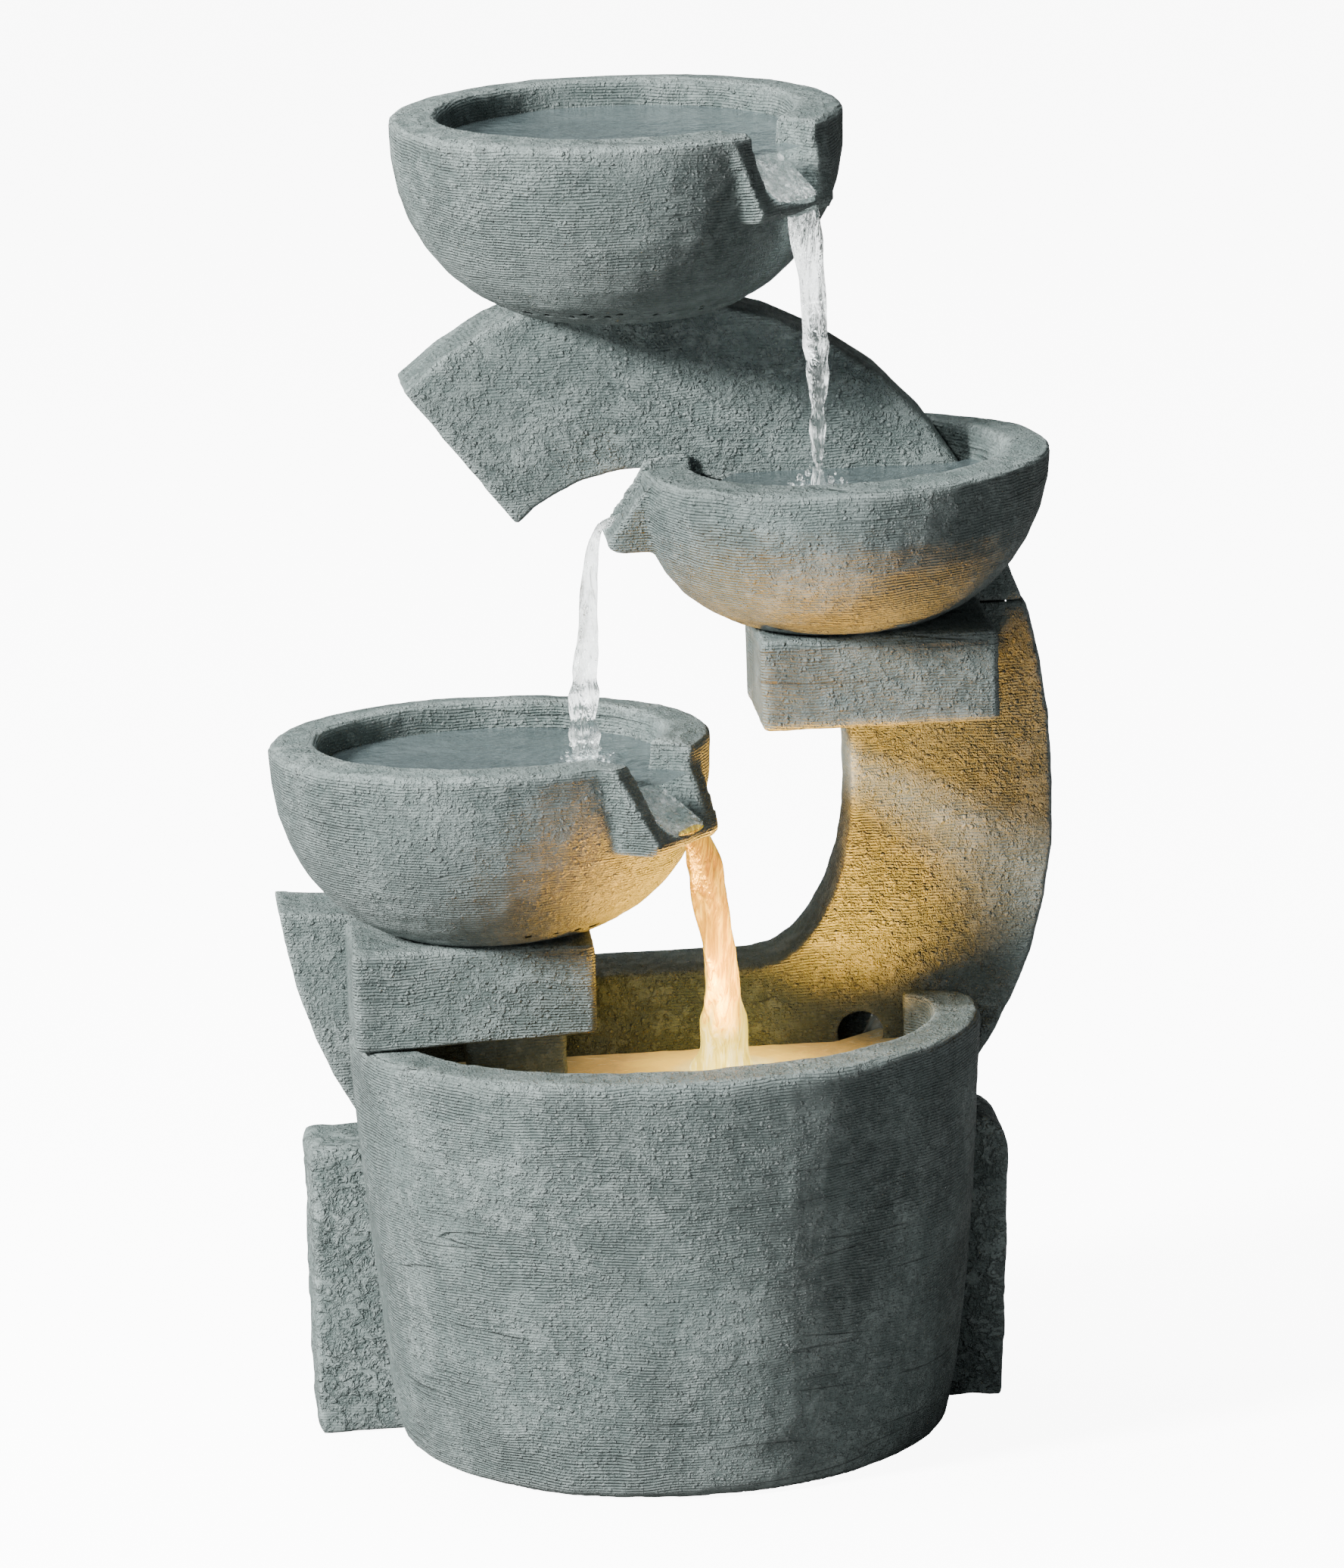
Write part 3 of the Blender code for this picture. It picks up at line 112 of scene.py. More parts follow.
def makeStudio():
    for name, place, size, power, colour, mirrored in studio["lamps"]:
        data = bpy.data.lights.new(name, "AREA")
        data.shape = "DISK"
        data.size = size
        data.energy = power
        data.color = colour
        lamp = bpy.data.objects.new(name, data)
        lamp.location = place
        lamp.rotation_euler = (Vector(place) - Vector(studio["aim"])).to_track_quat("Z", "Y").to_euler()
        lamp.visible_glossy = mirrored
        scene.collection.objects.link(lamp)
    world = bpy.data.worlds.new("studio")
    scene.world = world
    world.use_nodes = True
    tree = world.node_tree
    tree.nodes.clear()
    out = tree.nodes.new("ShaderNodeOutputWorld")
    mix = tree.nodes.new("ShaderNodeMixShader")
    path = tree.nodes.new("ShaderNodeLightPath")
    for i, strength in enumerate((studio["ambient"], studio["backdrop"])):
        sky = tree.nodes.new("ShaderNodeBackground")
        sky.inputs["Strength"].default_value = strength
        tree.links.new(sky.outputs[0], mix.inputs[1 + i])
    tree.links.new(seenDirectly(tree, path), mix.inputs[0])
    tree.links.new(mix.outputs[0], out.inputs[0])
    size = studio["floorSize"] / 2
    mesh = bpy.data.meshes.new("floor")
    bm = bmesh.new()
    bmesh.ops.create_grid(bm, x_segments=8, y_segments=8, size=size)
    bm.to_mesh(mesh)
    bm.free()
    floor = bpy.data.objects.new("floor", mesh)
    floor.location.z = cadBox[0][2] - studio["floorGap"]
    scene.collection.objects.link(floor)
    finish, tree, shader = startMaterial("paleFloor")
    path = tree.nodes.new("ShaderNodeLightPath")
    straight = seenDirectly(tree, path)
    paint = mixColour(tree, straight, studio["floorBounce"], studio["floorColour"])
    tree.links.new(paint, shader.inputs["Base Color"])
    shader.inputs["Roughness"].default_value = studio["floorRoughness"]
    shader.inputs["Emission Color"].default_value = (1, 1, 1, 1)
    glow = mathNode(tree, "MULTIPLY", straight, studio["floorGlow"])
    tree.links.new(glow, shader.inputs["Emission Strength"])
    mesh.materials.append(finish)


# Node helpers and shared effects.


def newNode(tree, kind, **settings):
    node = tree.nodes.new(kind)
    for key, value in settings.items():
        if key in node.inputs:
            node.inputs[key].default_value = value
        else:
            setattr(node, key, value)
    return node


def rampNode(tree, stops):
    node = tree.nodes.new("ShaderNodeValToRGB")
    ramp = node.color_ramp
    while len(ramp.elements) < len(stops):
        ramp.elements.new(0.5)
    for element, (place, colour) in zip(ramp.elements, stops):
        element.position = place
        element.color = colour if len(colour) == 4 else (*colour, 1)
    return node


def greyStops(*stops):
    return [(place, (value, value, value, 1)) for place, value in stops]


def mathNode(tree, operation, first, second, clamp=False):
    node = tree.nodes.new("ShaderNodeMath")
    node.operation = operation
    node.use_clamp = clamp
    for socket, value in zip(node.inputs, (first, second)):
        if isinstance(value, (int, float)):
            socket.default_value = value
        else:
            tree.links.new(value, socket)
    return node.outputs[0]


def mixColour(tree, factor, first, second, blend="MIX"):
    node = tree.nodes.new("ShaderNodeMix")
    node.data_type = "RGBA"
    node.blend_type = blend
    for socket, value in ((node.inputs[0], factor), (node.inputs[6], first), (node.inputs[7], second)):
        if isinstance(value, (int, float)):
            socket.default_value = value
        elif isinstance(value, tuple):
            socket.default_value = value if len(value) == 4 else (*value, 1)
        else:
            tree.links.new(value, socket)
    return node.outputs[2]


def newGroup(name, inputs, outputs):
    group = bpy.data.node_groups.new(name, "ShaderNodeTree")
    for label, kind, value in inputs:
        socket = group.interface.new_socket(name=label, in_out="INPUT", socket_type=kind)
        if value is not None:
            socket.default_value = value
    for label, kind in outputs:
        group.interface.new_socket(name=label, in_out="OUTPUT", socket_type=kind)
    start = group.nodes.new("NodeGroupInput")
    end = group.nodes.new("NodeGroupOutput")
    return group, start, end


def stretched(tree, vector, scale):
    node = tree.nodes.new("ShaderNodeMapping")
    node.inputs["Scale"].default_value = scale
    tree.links.new(vector, node.inputs["Vector"])
    return node.outputs[0]


def noiseOf(tree, vector, scale, detail=2.0, rough=0.5, distort=0.0):
    node = newNode(tree, "ShaderNodeTexNoise", Scale=scale, Detail=detail, Roughness=rough, Distortion=distort)
    tree.links.new(vector, node.inputs["Vector"])
    return node.outputs["Fac"]


def thresholdOf(tree, value, *stops):
    ramp = rampNode(tree, greyStops(*stops))
    tree.links.new(value, ramp.inputs[0])
    return ramp.outputs[0]


def wobbled(tree, place, scale, amount):
    # the place shifted about by a soft noise
    noise = newNode(tree, "ShaderNodeTexNoise", Scale=scale, Detail=2.0)
    tree.links.new(place, noise.inputs["Vector"])
    centred = tree.nodes.new("ShaderNodeVectorMath")
    centred.operation = "SUBTRACT"
    tree.links.new(noise.outputs["Color"], centred.inputs[0])
    centred.inputs[1].default_value = (0.5, 0.5, 0.5)
    scaled = tree.nodes.new("ShaderNodeVectorMath")
    scaled.operation = "SCALE"
    tree.links.new(centred.outputs[0], scaled.inputs[0])
    scaled.inputs["Scale"].default_value = amount
    moved = tree.nodes.new("ShaderNodeVectorMath")
    moved.operation = "ADD"
    tree.links.new(place, moved.inputs[0])
    tree.links.new(scaled.outputs[0], moved.inputs[1])
    return moved.outputs[0]


def reliefGroup():
    # Scattered pimples, a torn skin of plaster, fine level comb lines, long hair cracks and grain, as one height.
    tree, start, end = newGroup(
        "stoneRelief",
        [
            ("Pimple Size", "NodeSocketFloat", 0.004), ("Pimples", "NodeSocketFloat", 0.6),
            ("Skin", "NodeSocketFloat", 0.4), ("Comb Lines", "NodeSocketFloat", 0.4),
            ("Cracks", "NodeSocketFloat", 0.3), ("Grain", "NodeSocketFloat", 0.15),
        ],
        [("Height", "NodeSocketFloat"), ("Pit", "NodeSocketFloat"), ("Ridge", "NodeSocketFloat")],
    )
    place = tree.nodes.new("ShaderNodeTexCoord").outputs["Object"]
    shaken = wobbled(tree, place, 260.0, 0.0030)
    fineness = mathNode(tree, "DIVIDE", 1.0, start.outputs["Pimple Size"])
    pimples = None
    for share, cut in ((1.0, 0.42), (1.7, 0.40), (2.9, 0.45)):
        cells = tree.nodes.new("ShaderNodeTexVoronoi")
        tree.links.new(shaken, cells.inputs["Vector"])
        tree.links.new(mathNode(tree, "MULTIPLY", fineness, share), cells.inputs["Scale"])
        chance = tree.nodes.new("ShaderNodeSeparateColor")
        tree.links.new(cells.outputs["Color"], chance.inputs[0])
        there = thresholdOf(tree, chance.outputs[0], (cut, 0.0), (cut + 0.25, 1.0))
        dome = thresholdOf(tree, cells.outputs["Distance"], (0.10, 1.0), (0.26, 0.85), (0.36, 0.0))
        found = mathNode(tree, "MULTIPLY", mathNode(tree, "MULTIPLY", dome, there), 1.0 / share ** 0.5)
        pimples = found if pimples is None else mathNode(tree, "MAXIMUM", pimples, found)
    patch = thresholdOf(tree, noiseOf(tree, place, 21.0, 3.0, 0.6), (0.36, 0.40), (0.60, 1.0))
    pimples = mathNode(tree, "MULTIPLY", pimples, patch)

    torn = noiseOf(tree, shaken, 120.0, 4.0, 0.68, 0.5)
    skin = thresholdOf(tree, torn, (0.42, 0.0), (0.50, 0.35), (0.55, 0.92), (0.75, 1.0))
    skin = mathNode(tree, "MULTIPLY", skin, patch)

    apart = tree.nodes.new("ShaderNodeSeparateXYZ")
    tree.links.new(wobbled(tree, place, 16.0, 0.010), apart.inputs[0])
    waves = mathNode(tree, "SINE", mathNode(tree, "MULTIPLY", apart.outputs[2], 2 * math.pi / 0.0016), 0.0)
    broken = noiseOf(tree, stretched(tree, place, (60, 60, 520)), 1.0, 3.0, 0.6, 0.3)
    broken = thresholdOf(tree, broken, (0.30, 0.45), (0.60, 1.0))
    combed = mathNode(tree, "MULTIPLY", mathNode(tree, "ADD", waves, 1.0), broken)
    bare = thresholdOf(tree, noiseOf(tree, place, 15.0, 2.0), (0.40, 1.0), (0.62, 0.25))
    combed = mathNode(tree, "MULTIPLY", combed, bare)

    long = noiseOf(tree, stretched(tree, wobbled(tree, place, 24.0, 0.0016), (3.5, 3.5, 70)), 1.0, 1.0, 0.4)
    crack = thresholdOf(tree, long, (0.492, 0.0), (0.498, 1.0), (0.502, 1.0), (0.508, 0.0))
    where = thresholdOf(tree, noiseOf(tree, stretched(tree, place, (14, 14, 40)), 1.0, 1.0), (0.50, 0.0), (0.62, 1.0))
    crack = mathNode(tree, "MULTIPLY", crack, where)

    grain = noiseOf(tree, place, 1000.0, 4.0, 0.7)
    total = mathNode(tree, "MULTIPLY", pimples, start.outputs["Pimples"])
    for value, label in ((skin, "Skin"), (combed, "Comb Lines"), (grain, "Grain")):
        total = mathNode(tree, "ADD", total, mathNode(tree, "MULTIPLY", value, start.outputs[label]))
    deep = mathNode(tree, "MULTIPLY", crack, start.outputs["Cracks"])
    total = mathNode(tree, "SUBTRACT", total, deep)
    groove = mathNode(tree, "MULTIPLY", mathNode(tree, "SUBTRACT", 2.0, combed), 0.5)
    grooves = mathNode(tree, "MULTIPLY", groove, start.outputs["Comb Lines"])
    tree.links.new(total, end.inputs["Height"])
    tree.links.new(mathNode(tree, "ADD", deep, grooves), end.inputs["Pit"])
    tree.links.new(mathNode(tree, "MAXIMUM", pimples, mathNode(tree, "MULTIPLY", skin, 0.6)), end.inputs["Ridge"])
    return tree


def tintGroup():
    # Mottled stone colour: pale where the relief and the edges stand out, dark in pits, with painted shade in hollows
    # and a darker, warmer painted shade on faces that point down.
    tree, start, end = newGroup(
        "stoneTint",
        [
            ("Dark", "NodeSocketColor", None), ("Middle", "NodeSocketColor", None), ("Pale", "NodeSocketColor", None),
            ("Stain", "NodeSocketColor", None), ("Ridge", "NodeSocketFloat", 0.0), ("Pit", "NodeSocketFloat", 0.0),
            ("Edge Wear", "NodeSocketFloat", 0.5), ("Staining", "NodeSocketFloat", 0.5),
        ],
        [("Color", "NodeSocketColor"), ("Roughness", "NodeSocketFloat")],
    )
    place = tree.nodes.new("ShaderNodeTexCoord").outputs["Object"]
    cloud = thresholdOf(tree, noiseOf(tree, place, 14.0, 4.0, 0.6), (0.30, 0.45), (0.66, 0.0))
    pool = thresholdOf(tree, noiseOf(tree, place, 30.0, 4.0, 0.6), (0.48, 0.0), (0.74, 0.30))
    speck = rampNode(tree, greyStops((0.42, 0.0), (0.64, 1.0)))
    tree.links.new(noiseOf(tree, place, 420.0, 3.0, 0.6), speck.inputs[0])
    base = mixColour(tree, cloud, start.outputs["Middle"], start.outputs["Dark"])
    base = mixColour(tree, pool, base, start.outputs["Pale"])
    base = mixColour(tree, mathNode(tree, "MULTIPLY", speck.outputs[0], 0.14), base, start.outputs["Pale"])
    ridge = mathNode(tree, "MULTIPLY", start.outputs["Ridge"], 0.42, True)
    base = mixColour(tree, ridge, base, start.outputs["Pale"])
    base = mixColour(tree, mathNode(tree, "MULTIPLY", start.outputs["Pit"], 1.0, True), base, start.outputs["Dark"])
    shape = tree.nodes.new("ShaderNodeNewGeometry")
    worn = rampNode(tree, greyStops((0.50, 0.0), (0.58, 1.0)))
    tree.links.new(shape.outputs["Pointiness"], worn.inputs[0])
    edge = mathNode(tree, "MULTIPLY", worn.outputs[0], start.outputs["Edge Wear"], True)
    base = mixColour(tree, edge, base, start.outputs["Pale"])
    # painted shade: hollows and creases, found by low pointiness, are darkened as if shaded
    hollowShade = rampNode(tree, greyStops((0.40, 1.0), (0.485, 0.0)))
    tree.links.new(shape.outputs["Pointiness"], hollowShade.inputs[0])
    base = mixColour(tree, mathNode(tree, "MULTIPLY", hollowShade.outputs[0], 0.8, True), base, start.outputs["Dark"])
    # painted shade: faces that point down are mixed towards a darker, browner colour, as if in the shade under the
    # stone
    facing = tree.nodes.new("ShaderNodeSeparateXYZ")
    tree.links.new(shape.outputs["Normal"], facing.inputs[0])
    under = mathNode(tree, "MULTIPLY", facing.outputs[2], -1.0)
    under = mathNode(tree, "MULTIPLY", mathNode(tree, "ADD", under, -0.12), 0.9, True)
    underShade = mathNode(tree, "MULTIPLY", under, start.outputs["Staining"], True)
    base = mixColour(tree, underShade, base, start.outputs["Stain"])
    tree.links.new(base, end.inputs["Color"])
    rough = mathNode(tree, "ADD", 0.50, mathNode(tree, "MULTIPLY", speck.outputs[0], 0.30))
    tree.links.new(rough, end.inputs["Roughness"])
    return tree


def speckleGroup():
    # Moulding haze and rubbed edges for the plastic, rubber and metal pieces.
    tree, start, end = newGroup(
        "mouldedWear",
        [
            ("Base", "NodeSocketColor", None), ("Worn", "NodeSocketColor", None),
            ("Grain Size", "NodeSocketFloat", 0.001), ("Roughness", "NodeSocketFloat", 0.5),
            ("Wear", "NodeSocketFloat", 0.3),
        ],
        [("Color", "NodeSocketColor"), ("Roughness", "NodeSocketFloat"), ("Height", "NodeSocketFloat")],
    )
    place = tree.nodes.new("ShaderNodeTexCoord").outputs["Object"]
    grain = tree.nodes.new("ShaderNodeTexNoise")
    grain.inputs["Detail"].default_value = 3.0
    tree.links.new(place, grain.inputs["Vector"])
    tree.links.new(mathNode(tree, "DIVIDE", 1.0, start.outputs["Grain Size"]), grain.inputs["Scale"])
    cloud = noiseOf(tree, place, 90.0, 3.0)
    shape = tree.nodes.new("ShaderNodeNewGeometry")
    worn = rampNode(tree, greyStops((0.50, 0.0), (0.62, 1.0)))
    tree.links.new(shape.outputs["Pointiness"], worn.inputs[0])
    amount = mathNode(tree, "MULTIPLY", worn.outputs[0], start.outputs["Wear"], True)
    haze = mathNode(tree, "MULTIPLY", mathNode(tree, "MULTIPLY", cloud, start.outputs["Wear"]), 0.5, True)
    base = mixColour(tree, mathNode(tree, "MAXIMUM", amount, haze), start.outputs["Base"], start.outputs["Worn"])
    tree.links.new(base, end.inputs["Color"])
    uneven = mathNode(tree, "MULTIPLY", mathNode(tree, "SUBTRACT", cloud, 0.5), 0.3)
    rough = mathNode(tree, "ADD", start.outputs["Roughness"], uneven)
    tree.links.new(rough, end.inputs["Roughness"])
    tree.links.new(grain.outputs["Fac"], end.inputs["Height"])
    return tree


def placeGroup(tree, group, **values):
    node = tree.nodes.new("ShaderNodeGroup")
    node.node_tree = group
    for label, value in values.items():
        socket = node.inputs[label.replace("_", " ")]
        socket.default_value = (*value, 1) if isinstance(value, tuple) else value
    return node


def startMaterial(name):
    made = bpy.data.materials.new(name)
    made.use_nodes = True
    tree = made.node_tree
    return made, tree, tree.nodes["Principled BSDF"]


def addBump(tree, shader, height, distance, strength=1.0):
    bump = newNode(tree, "ShaderNodeBump", Distance=distance, Strength=strength)
    tree.links.new(height, bump.inputs["Height"])
    tree.links.new(bump.outputs[0], shader.inputs["Normal"])


# Finishes.

# the last colour is the darker, browner painted shade for faces that point down
stoneTints = dict(
    dark=(0.022, 0.034, 0.032), middle=(0.112, 0.152, 0.146), pale=(0.400, 0.468, 0.456), underShade=(0.075, 0.075, 0.062),
)
# the last value of each kind is how strongly that painted shade darkens faces that point down
stoneKinds = dict(
    combed=dict(
        size=0.0036, pimples=0.85, skin=0.20, comb=0.10,
        cracks=0.35, grain=0.16, relief=0.0075, edge=0.60, underShade=0.25,
    ),
    pimpled=dict(
        size=0.0038, pimples=0.95, skin=0.30, comb=0.05,
        cracks=0.08, grain=0.16, relief=0.0075, edge=0.55, underShade=0.25,
    ),
    bark=dict(
        size=0.0060, pimples=0.55, skin=0.80, comb=0.02,
        cracks=0.10, grain=0.12, relief=0.0050, edge=0.25, underShade=0.20,
    ),
    plain=dict(
        size=0.0050, pimples=0.30, skin=0.16, comb=0.08,
        cracks=0.10, grain=0.12, relief=0.0025, edge=0.35, underShade=0.20,
    ),
)
stoneMade = {}


def stoneFinish(kind):
    if kind in stoneMade:
        return stoneMade[kind]
    values = stoneKinds[kind]
    made, tree, shader = startMaterial("castStone_" + kind)
    relief = placeGroup(
        tree, stoneRelief, Pimple_Size=values["size"], Pimples=values["pimples"], Skin=values["skin"],
        Comb_Lines=values["comb"], Cracks=values["cracks"], Grain=values["grain"],
    )
    # the tint also paints shade on faces that point down and in hollows
    tint = placeGroup(
        tree, stoneTint, Dark=stoneTints["dark"], Middle=stoneTints["middle"], Pale=stoneTints["pale"],
        Stain=stoneTints["underShade"], Edge_Wear=values["edge"], Staining=values["underShade"],
    )
    tree.links.new(relief.outputs["Ridge"], tint.inputs["Ridge"])
    tree.links.new(relief.outputs["Pit"], tint.inputs["Pit"])
    tree.links.new(tint.outputs["Color"], shader.inputs["Base Color"])
    tree.links.new(tint.outputs["Roughness"], shader.inputs["Roughness"])
    shader.inputs["Specular IOR Level"].default_value = 0.45
    addBump(tree, shader, relief.outputs["Height"], values["relief"])
    stoneMade[kind] = made
    return made


mouldings = dict(
    black_rubber=dict(
        base=(0.022, 0.022, 0.024), worn=(0.075, 0.075, 0.078),
        grain=0.0006, rough=0.72, wear=0.5, bump=0.00012, metal=0.0,
    ),
    black_plastic=dict(
        base=(0.018, 0.018, 0.020), worn=(0.060, 0.060, 0.064),
        grain=0.0004, rough=0.42, wear=0.4, bump=0.00006, metal=0.0,
    ),
    grey_plastic=dict(
        base=(0.150, 0.153, 0.157), worn=(0.270, 0.275, 0.280),
        grain=0.0004, rough=0.45, wear=0.3, bump=0.00006, metal=0.0,
    ),
    screw_steel=dict(
        base=(0.560, 0.560, 0.545), worn=(0.700, 0.700, 0.690),
        grain=0.0003, rough=0.30, wear=0.5, bump=0.00003, metal=1.0,
    ),
    shaft_ceramic=dict(
        base=(0.780, 0.760, 0.700), worn=(0.880, 0.870, 0.830),
        grain=0.0003, rough=0.22, wear=0.2, bump=0.00002, metal=0.0,
    ),
    rotor_ferrite=dict(
        base=(0.045, 0.045, 0.050), worn=(0.110, 0.110, 0.115),
        grain=0.0005, rough=0.55, wear=0.4, bump=0.00008, metal=0.0,
    ),
    circuit_board=dict(
        base=(0.760, 0.760, 0.700), worn=(0.860, 0.840, 0.700),
        grain=0.0012, rough=0.40, wear=0.6, bump=0.00004, metal=0.0,
    ),
)


def mouldedFinish(slotName):
    values = mouldings[slotName]
    made, tree, shader = startMaterial(slotName + "_finish")
    wear = placeGroup(
        tree, mouldedWear, Base=values["base"], Worn=values["worn"], Grain_Size=values["grain"],
        Roughness=values["rough"], Wear=values["wear"],
    )
    tree.links.new(wear.outputs["Color"], shader.inputs["Base Color"])
    tree.links.new(wear.outputs["Roughness"], shader.inputs["Roughness"])
    shader.inputs["Metallic"].default_value = values["metal"]
    addBump(tree, shader, wear.outputs["Height"], values["bump"])
    return made


clearSorts = dict(
    clear_vinyl=dict(
        colour=(0.80, 0.88, 0.87),
        roughness=0.18, transmission=0.75, ior=1.50, ripple=0.0008, size=0.006,
    ),
    lens_clear=dict(
        colour=(1.00, 0.90, 0.66),
        roughness=0.22, transmission=0.80, ior=1.49, ripple=0.0002, size=0.002,
    ),
)


def clearFinish(slotName):
    values = clearSorts[slotName]
    made, tree, shader = startMaterial(slotName + "_finish")
    place = tree.nodes.new("ShaderNodeTexCoord").outputs["Object"]
    cloud = noiseOf(tree, place, 1 / values["size"], 2.0)
    film = mixColour(tree, cloud, tuple(c * 0.86 for c in values["colour"]), values["colour"])
    tree.links.new(film, shader.inputs["Base Color"])
    shader.inputs["Roughness"].default_value = values["roughness"]
    shader.inputs["IOR"].default_value = values["ior"]
    shader.inputs["Transmission Weight"].default_value = values["transmission"]
    addBump(tree, shader, cloud, values["ripple"])
    return made


# Stone castings: fine copies of the plain solids, with rounded arrises and real unevenness.

castings = dict(
    # node: cell of the fine mesh, smoothing rounds, waviness, lumps, finish
    upper_bowl=(0.0021, 3, 0.0006, 0.00025, "combed"),
    middle_bowl=(0.0019, 3, 0.0006, 0.00025, "combed"),
    lower_bowl=(0.0021, 3, 0.0006, 0.00025, "combed"),
    crescent_upper=(0.0022, 3, 0.0008, 0.00035, "pimpled"),
    crescent_lower=(0.0022, 3, 0.0008, 0.00035, "pimpled"),
    basin=(0.0029, 3, 0.0008, 0.00030, "combed"),
    rear_plinth=(0.0026, 5, 0.0012, 0.00070, "bark"),
    lower_block=(0.0018, 3, 0.0007, 0.00030, "combed"),
    middle_block=(0.0018, 3, 0.0007, 0.00030, "combed"),
    lower_pedestal=(0.0026, 4, 0.0006, 0.00030, "plain"),
    back_panel_lower=(0.0024, 3, 0.0003, 0.00015, "plain"),
    back_panel_upper=(0.0024, 3, 0.0003, 0.00015, "plain"),
    access_door=(0.0014, 3, 0.0001, 0.00008, "plain"),
)
unevenness = dict(
    # sizes of the broad and small waves, the lumps and the pips; share of the small waves; how proud the floor cut is
    broad=0.055, small=0.024, lump=0.011, pip=0.0062, smallShare=0.5, smoothing=0.6, merge=0.00002,
    floorBand=0.0004, floorLift=0.0001,
)
latticeSize = 4096
lattice = np.random.default_rng(11).random(latticeSize)


def softNoise(points, size, seed):
    # smooth noise between -1 and 1 over lumps of the given size
    scaled = points / size + seed * 7.31
    cell = np.floor(scaled).astype(np.int64)
    inside = scaled - cell
    inside = inside * inside * (3 - 2 * inside)
    total = np.zeros(len(points))
    for dx in (0, 1):
        for dy in (0, 1):
            for dz in (0, 1):
                corner = cell + (dx, dy, dz)
                index = (corner[:, 0] * 73856093 ^ corner[:, 1] * 19349663 ^ corner[:, 2] * 83492791) % latticeSize
                weight = np.ones(len(points))
                for axis, step in enumerate((dx, dy, dz)):
                    weight *= inside[:, axis] if step else 1 - inside[:, axis]
                total += weight * lattice[index]
    return total * 2 - 1


def meshPoints(mesh):
    places = np.empty(len(mesh.vertices) * 3, np.float32)
    mesh.vertices.foreach_get("co", places)
    return places.reshape(-1, 3).astype(np.float64)


def meshNormals(mesh):
    found = np.empty(len(mesh.vertices) * 3, np.float32)
    mesh.vertex_normals.foreach_get("vector", found)
    return found.reshape(-1, 3).astype(np.float64)


def fineCopy(node, cell, rounds, name):
    source = frame["nodes"][node]
    mesh = source.data.copy()
    mesh.materials.clear()
    bm = bmesh.new()
    bm.from_mesh(mesh)
    bmesh.ops.remove_doubles(bm, verts=bm.verts, dist=unevenness["merge"])
    bm.to_mesh(mesh)
    bm.free()
    raw = bpy.data.objects.new(name + "_raw", mesh)
    scene.collection.objects.link(raw)
    grid = raw.modifiers.new("fineCells", "REMESH")
    grid.mode = "VOXEL"
    grid.voxel_size = cell
    soft = raw.modifiers.new("roundEdges", "SMOOTH")
    soft.factor = unevenness["smoothing"]
    soft.iterations = rounds
    bpy.context.view_layer.update()
    made = bpy.data.meshes.new_from_object(raw.evaluated_get(bpy.context.evaluated_depsgraph_get()))
    made.name = name
    bpy.data.objects.remove(raw, do_unlink=True)
    bpy.data.meshes.remove(mesh)
    piece = bpy.data.objects.new(name, made)
    scene.collection.objects.link(piece)
    return piece


def makeCasting(node):
    cell, rounds, waves, lumps, kind = castings[node]
    piece = fineCopy(node, cell, rounds, node + "_cast")
    mesh = piece.data
    places, normals = meshPoints(mesh), meshNormals(mesh)
    broad, small = softNoise(places, unevenness["broad"], 1), softNoise(places, unevenness["small"], 2)
    push = waves * broad + waves * unevenness["smallShare"] * small
    pips = np.maximum(softNoise(places, unevenness["pip"], 4), 0)
    push += lumps * softNoise(places, unevenness["lump"], 3) + lumps * pips
    places += normals * push[:, None]
    floor = places[:, 2] < cadBox[0][2] + unevenness["floorBand"]
    places[floor, 2] = cadBox[0][2] + unevenness["floorLift"]
    mesh.vertices.foreach_set("co", places.astype(np.float32).ravel())
    mesh.update()
    mesh.shade_smooth()
    mesh.materials.append(stoneFinish(kind))
    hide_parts(node)
    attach(piece, bodyOf[node])
    return piece


# Water: surfaces, sheets in the spouts, falling streams.

bowls = dict(
    # the spout's direction, how far the water is under the rim, where a stream lands, the spout's sizes
    upper=dict(
        node="upper_bowl", spout=-46.0, under=0.0150, splash=None, rimWidth=0.026, reach=0.006,
        shift=0.0, channel=0.036,
    ),
    middle=dict(
        node="middle_bowl", spout=180.0, under=0.0150, splash=(0.0925, 0.016), rimWidth=0.026, reach=0.0205,
        shift=-0.010, channel=0.021,
    ),
    lower=dict(
        node="lower_bowl", spout=-38.0, under=0.0155, splash=(-0.038, 0.024), rimWidth=0.026, reach=0.015,
        shift=0.0, channel=0.036,
    ),
)
falls = dict(
    # width and thickness down the fall, how far it arches out, how much it twists, how far it breaks into beads
    upper=dict(
        width=((0, 0.023), (0.30, 0.018), (0.60, 0.014), (0.76, 0.008), (1, 0.0055)),
        thick=((0, 0.003), (0.30, 0.007), (0.60, 0.008), (0.76, 0.006), (1, 0.0050)),
        arch=0.010, twist=0.9, beads=0.26,
    ),
    middle=dict(
        width=((0, 0.017), (0.12, 0.009), (0.40, 0.012), (0.70, 0.017), (1, 0.014)),
        thick=((0, 0.003), (0.12, 0.006), (0.40, 0.009), (0.70, 0.012), (1, 0.0110)),
        arch=0.008, twist=1.2, beads=0.14,
    ),
    lower=dict(
        width=((0, 0.025), (0.30, 0.022), (0.70, 0.023), (0.90, 0.027), (1, 0.034)),
        thick=((0, 0.003), (0.30, 0.009), (0.70, 0.013), (0.90, 0.017), (1, 0.024)),
        arch=0.012, twist=0.5, beads=0.05,
    ),
)
streamFinishes = {}
basinWater = dict(level=0.206, middle=(0.030, -0.010), splash=(0.032, 0.022), glowSize=0.105)
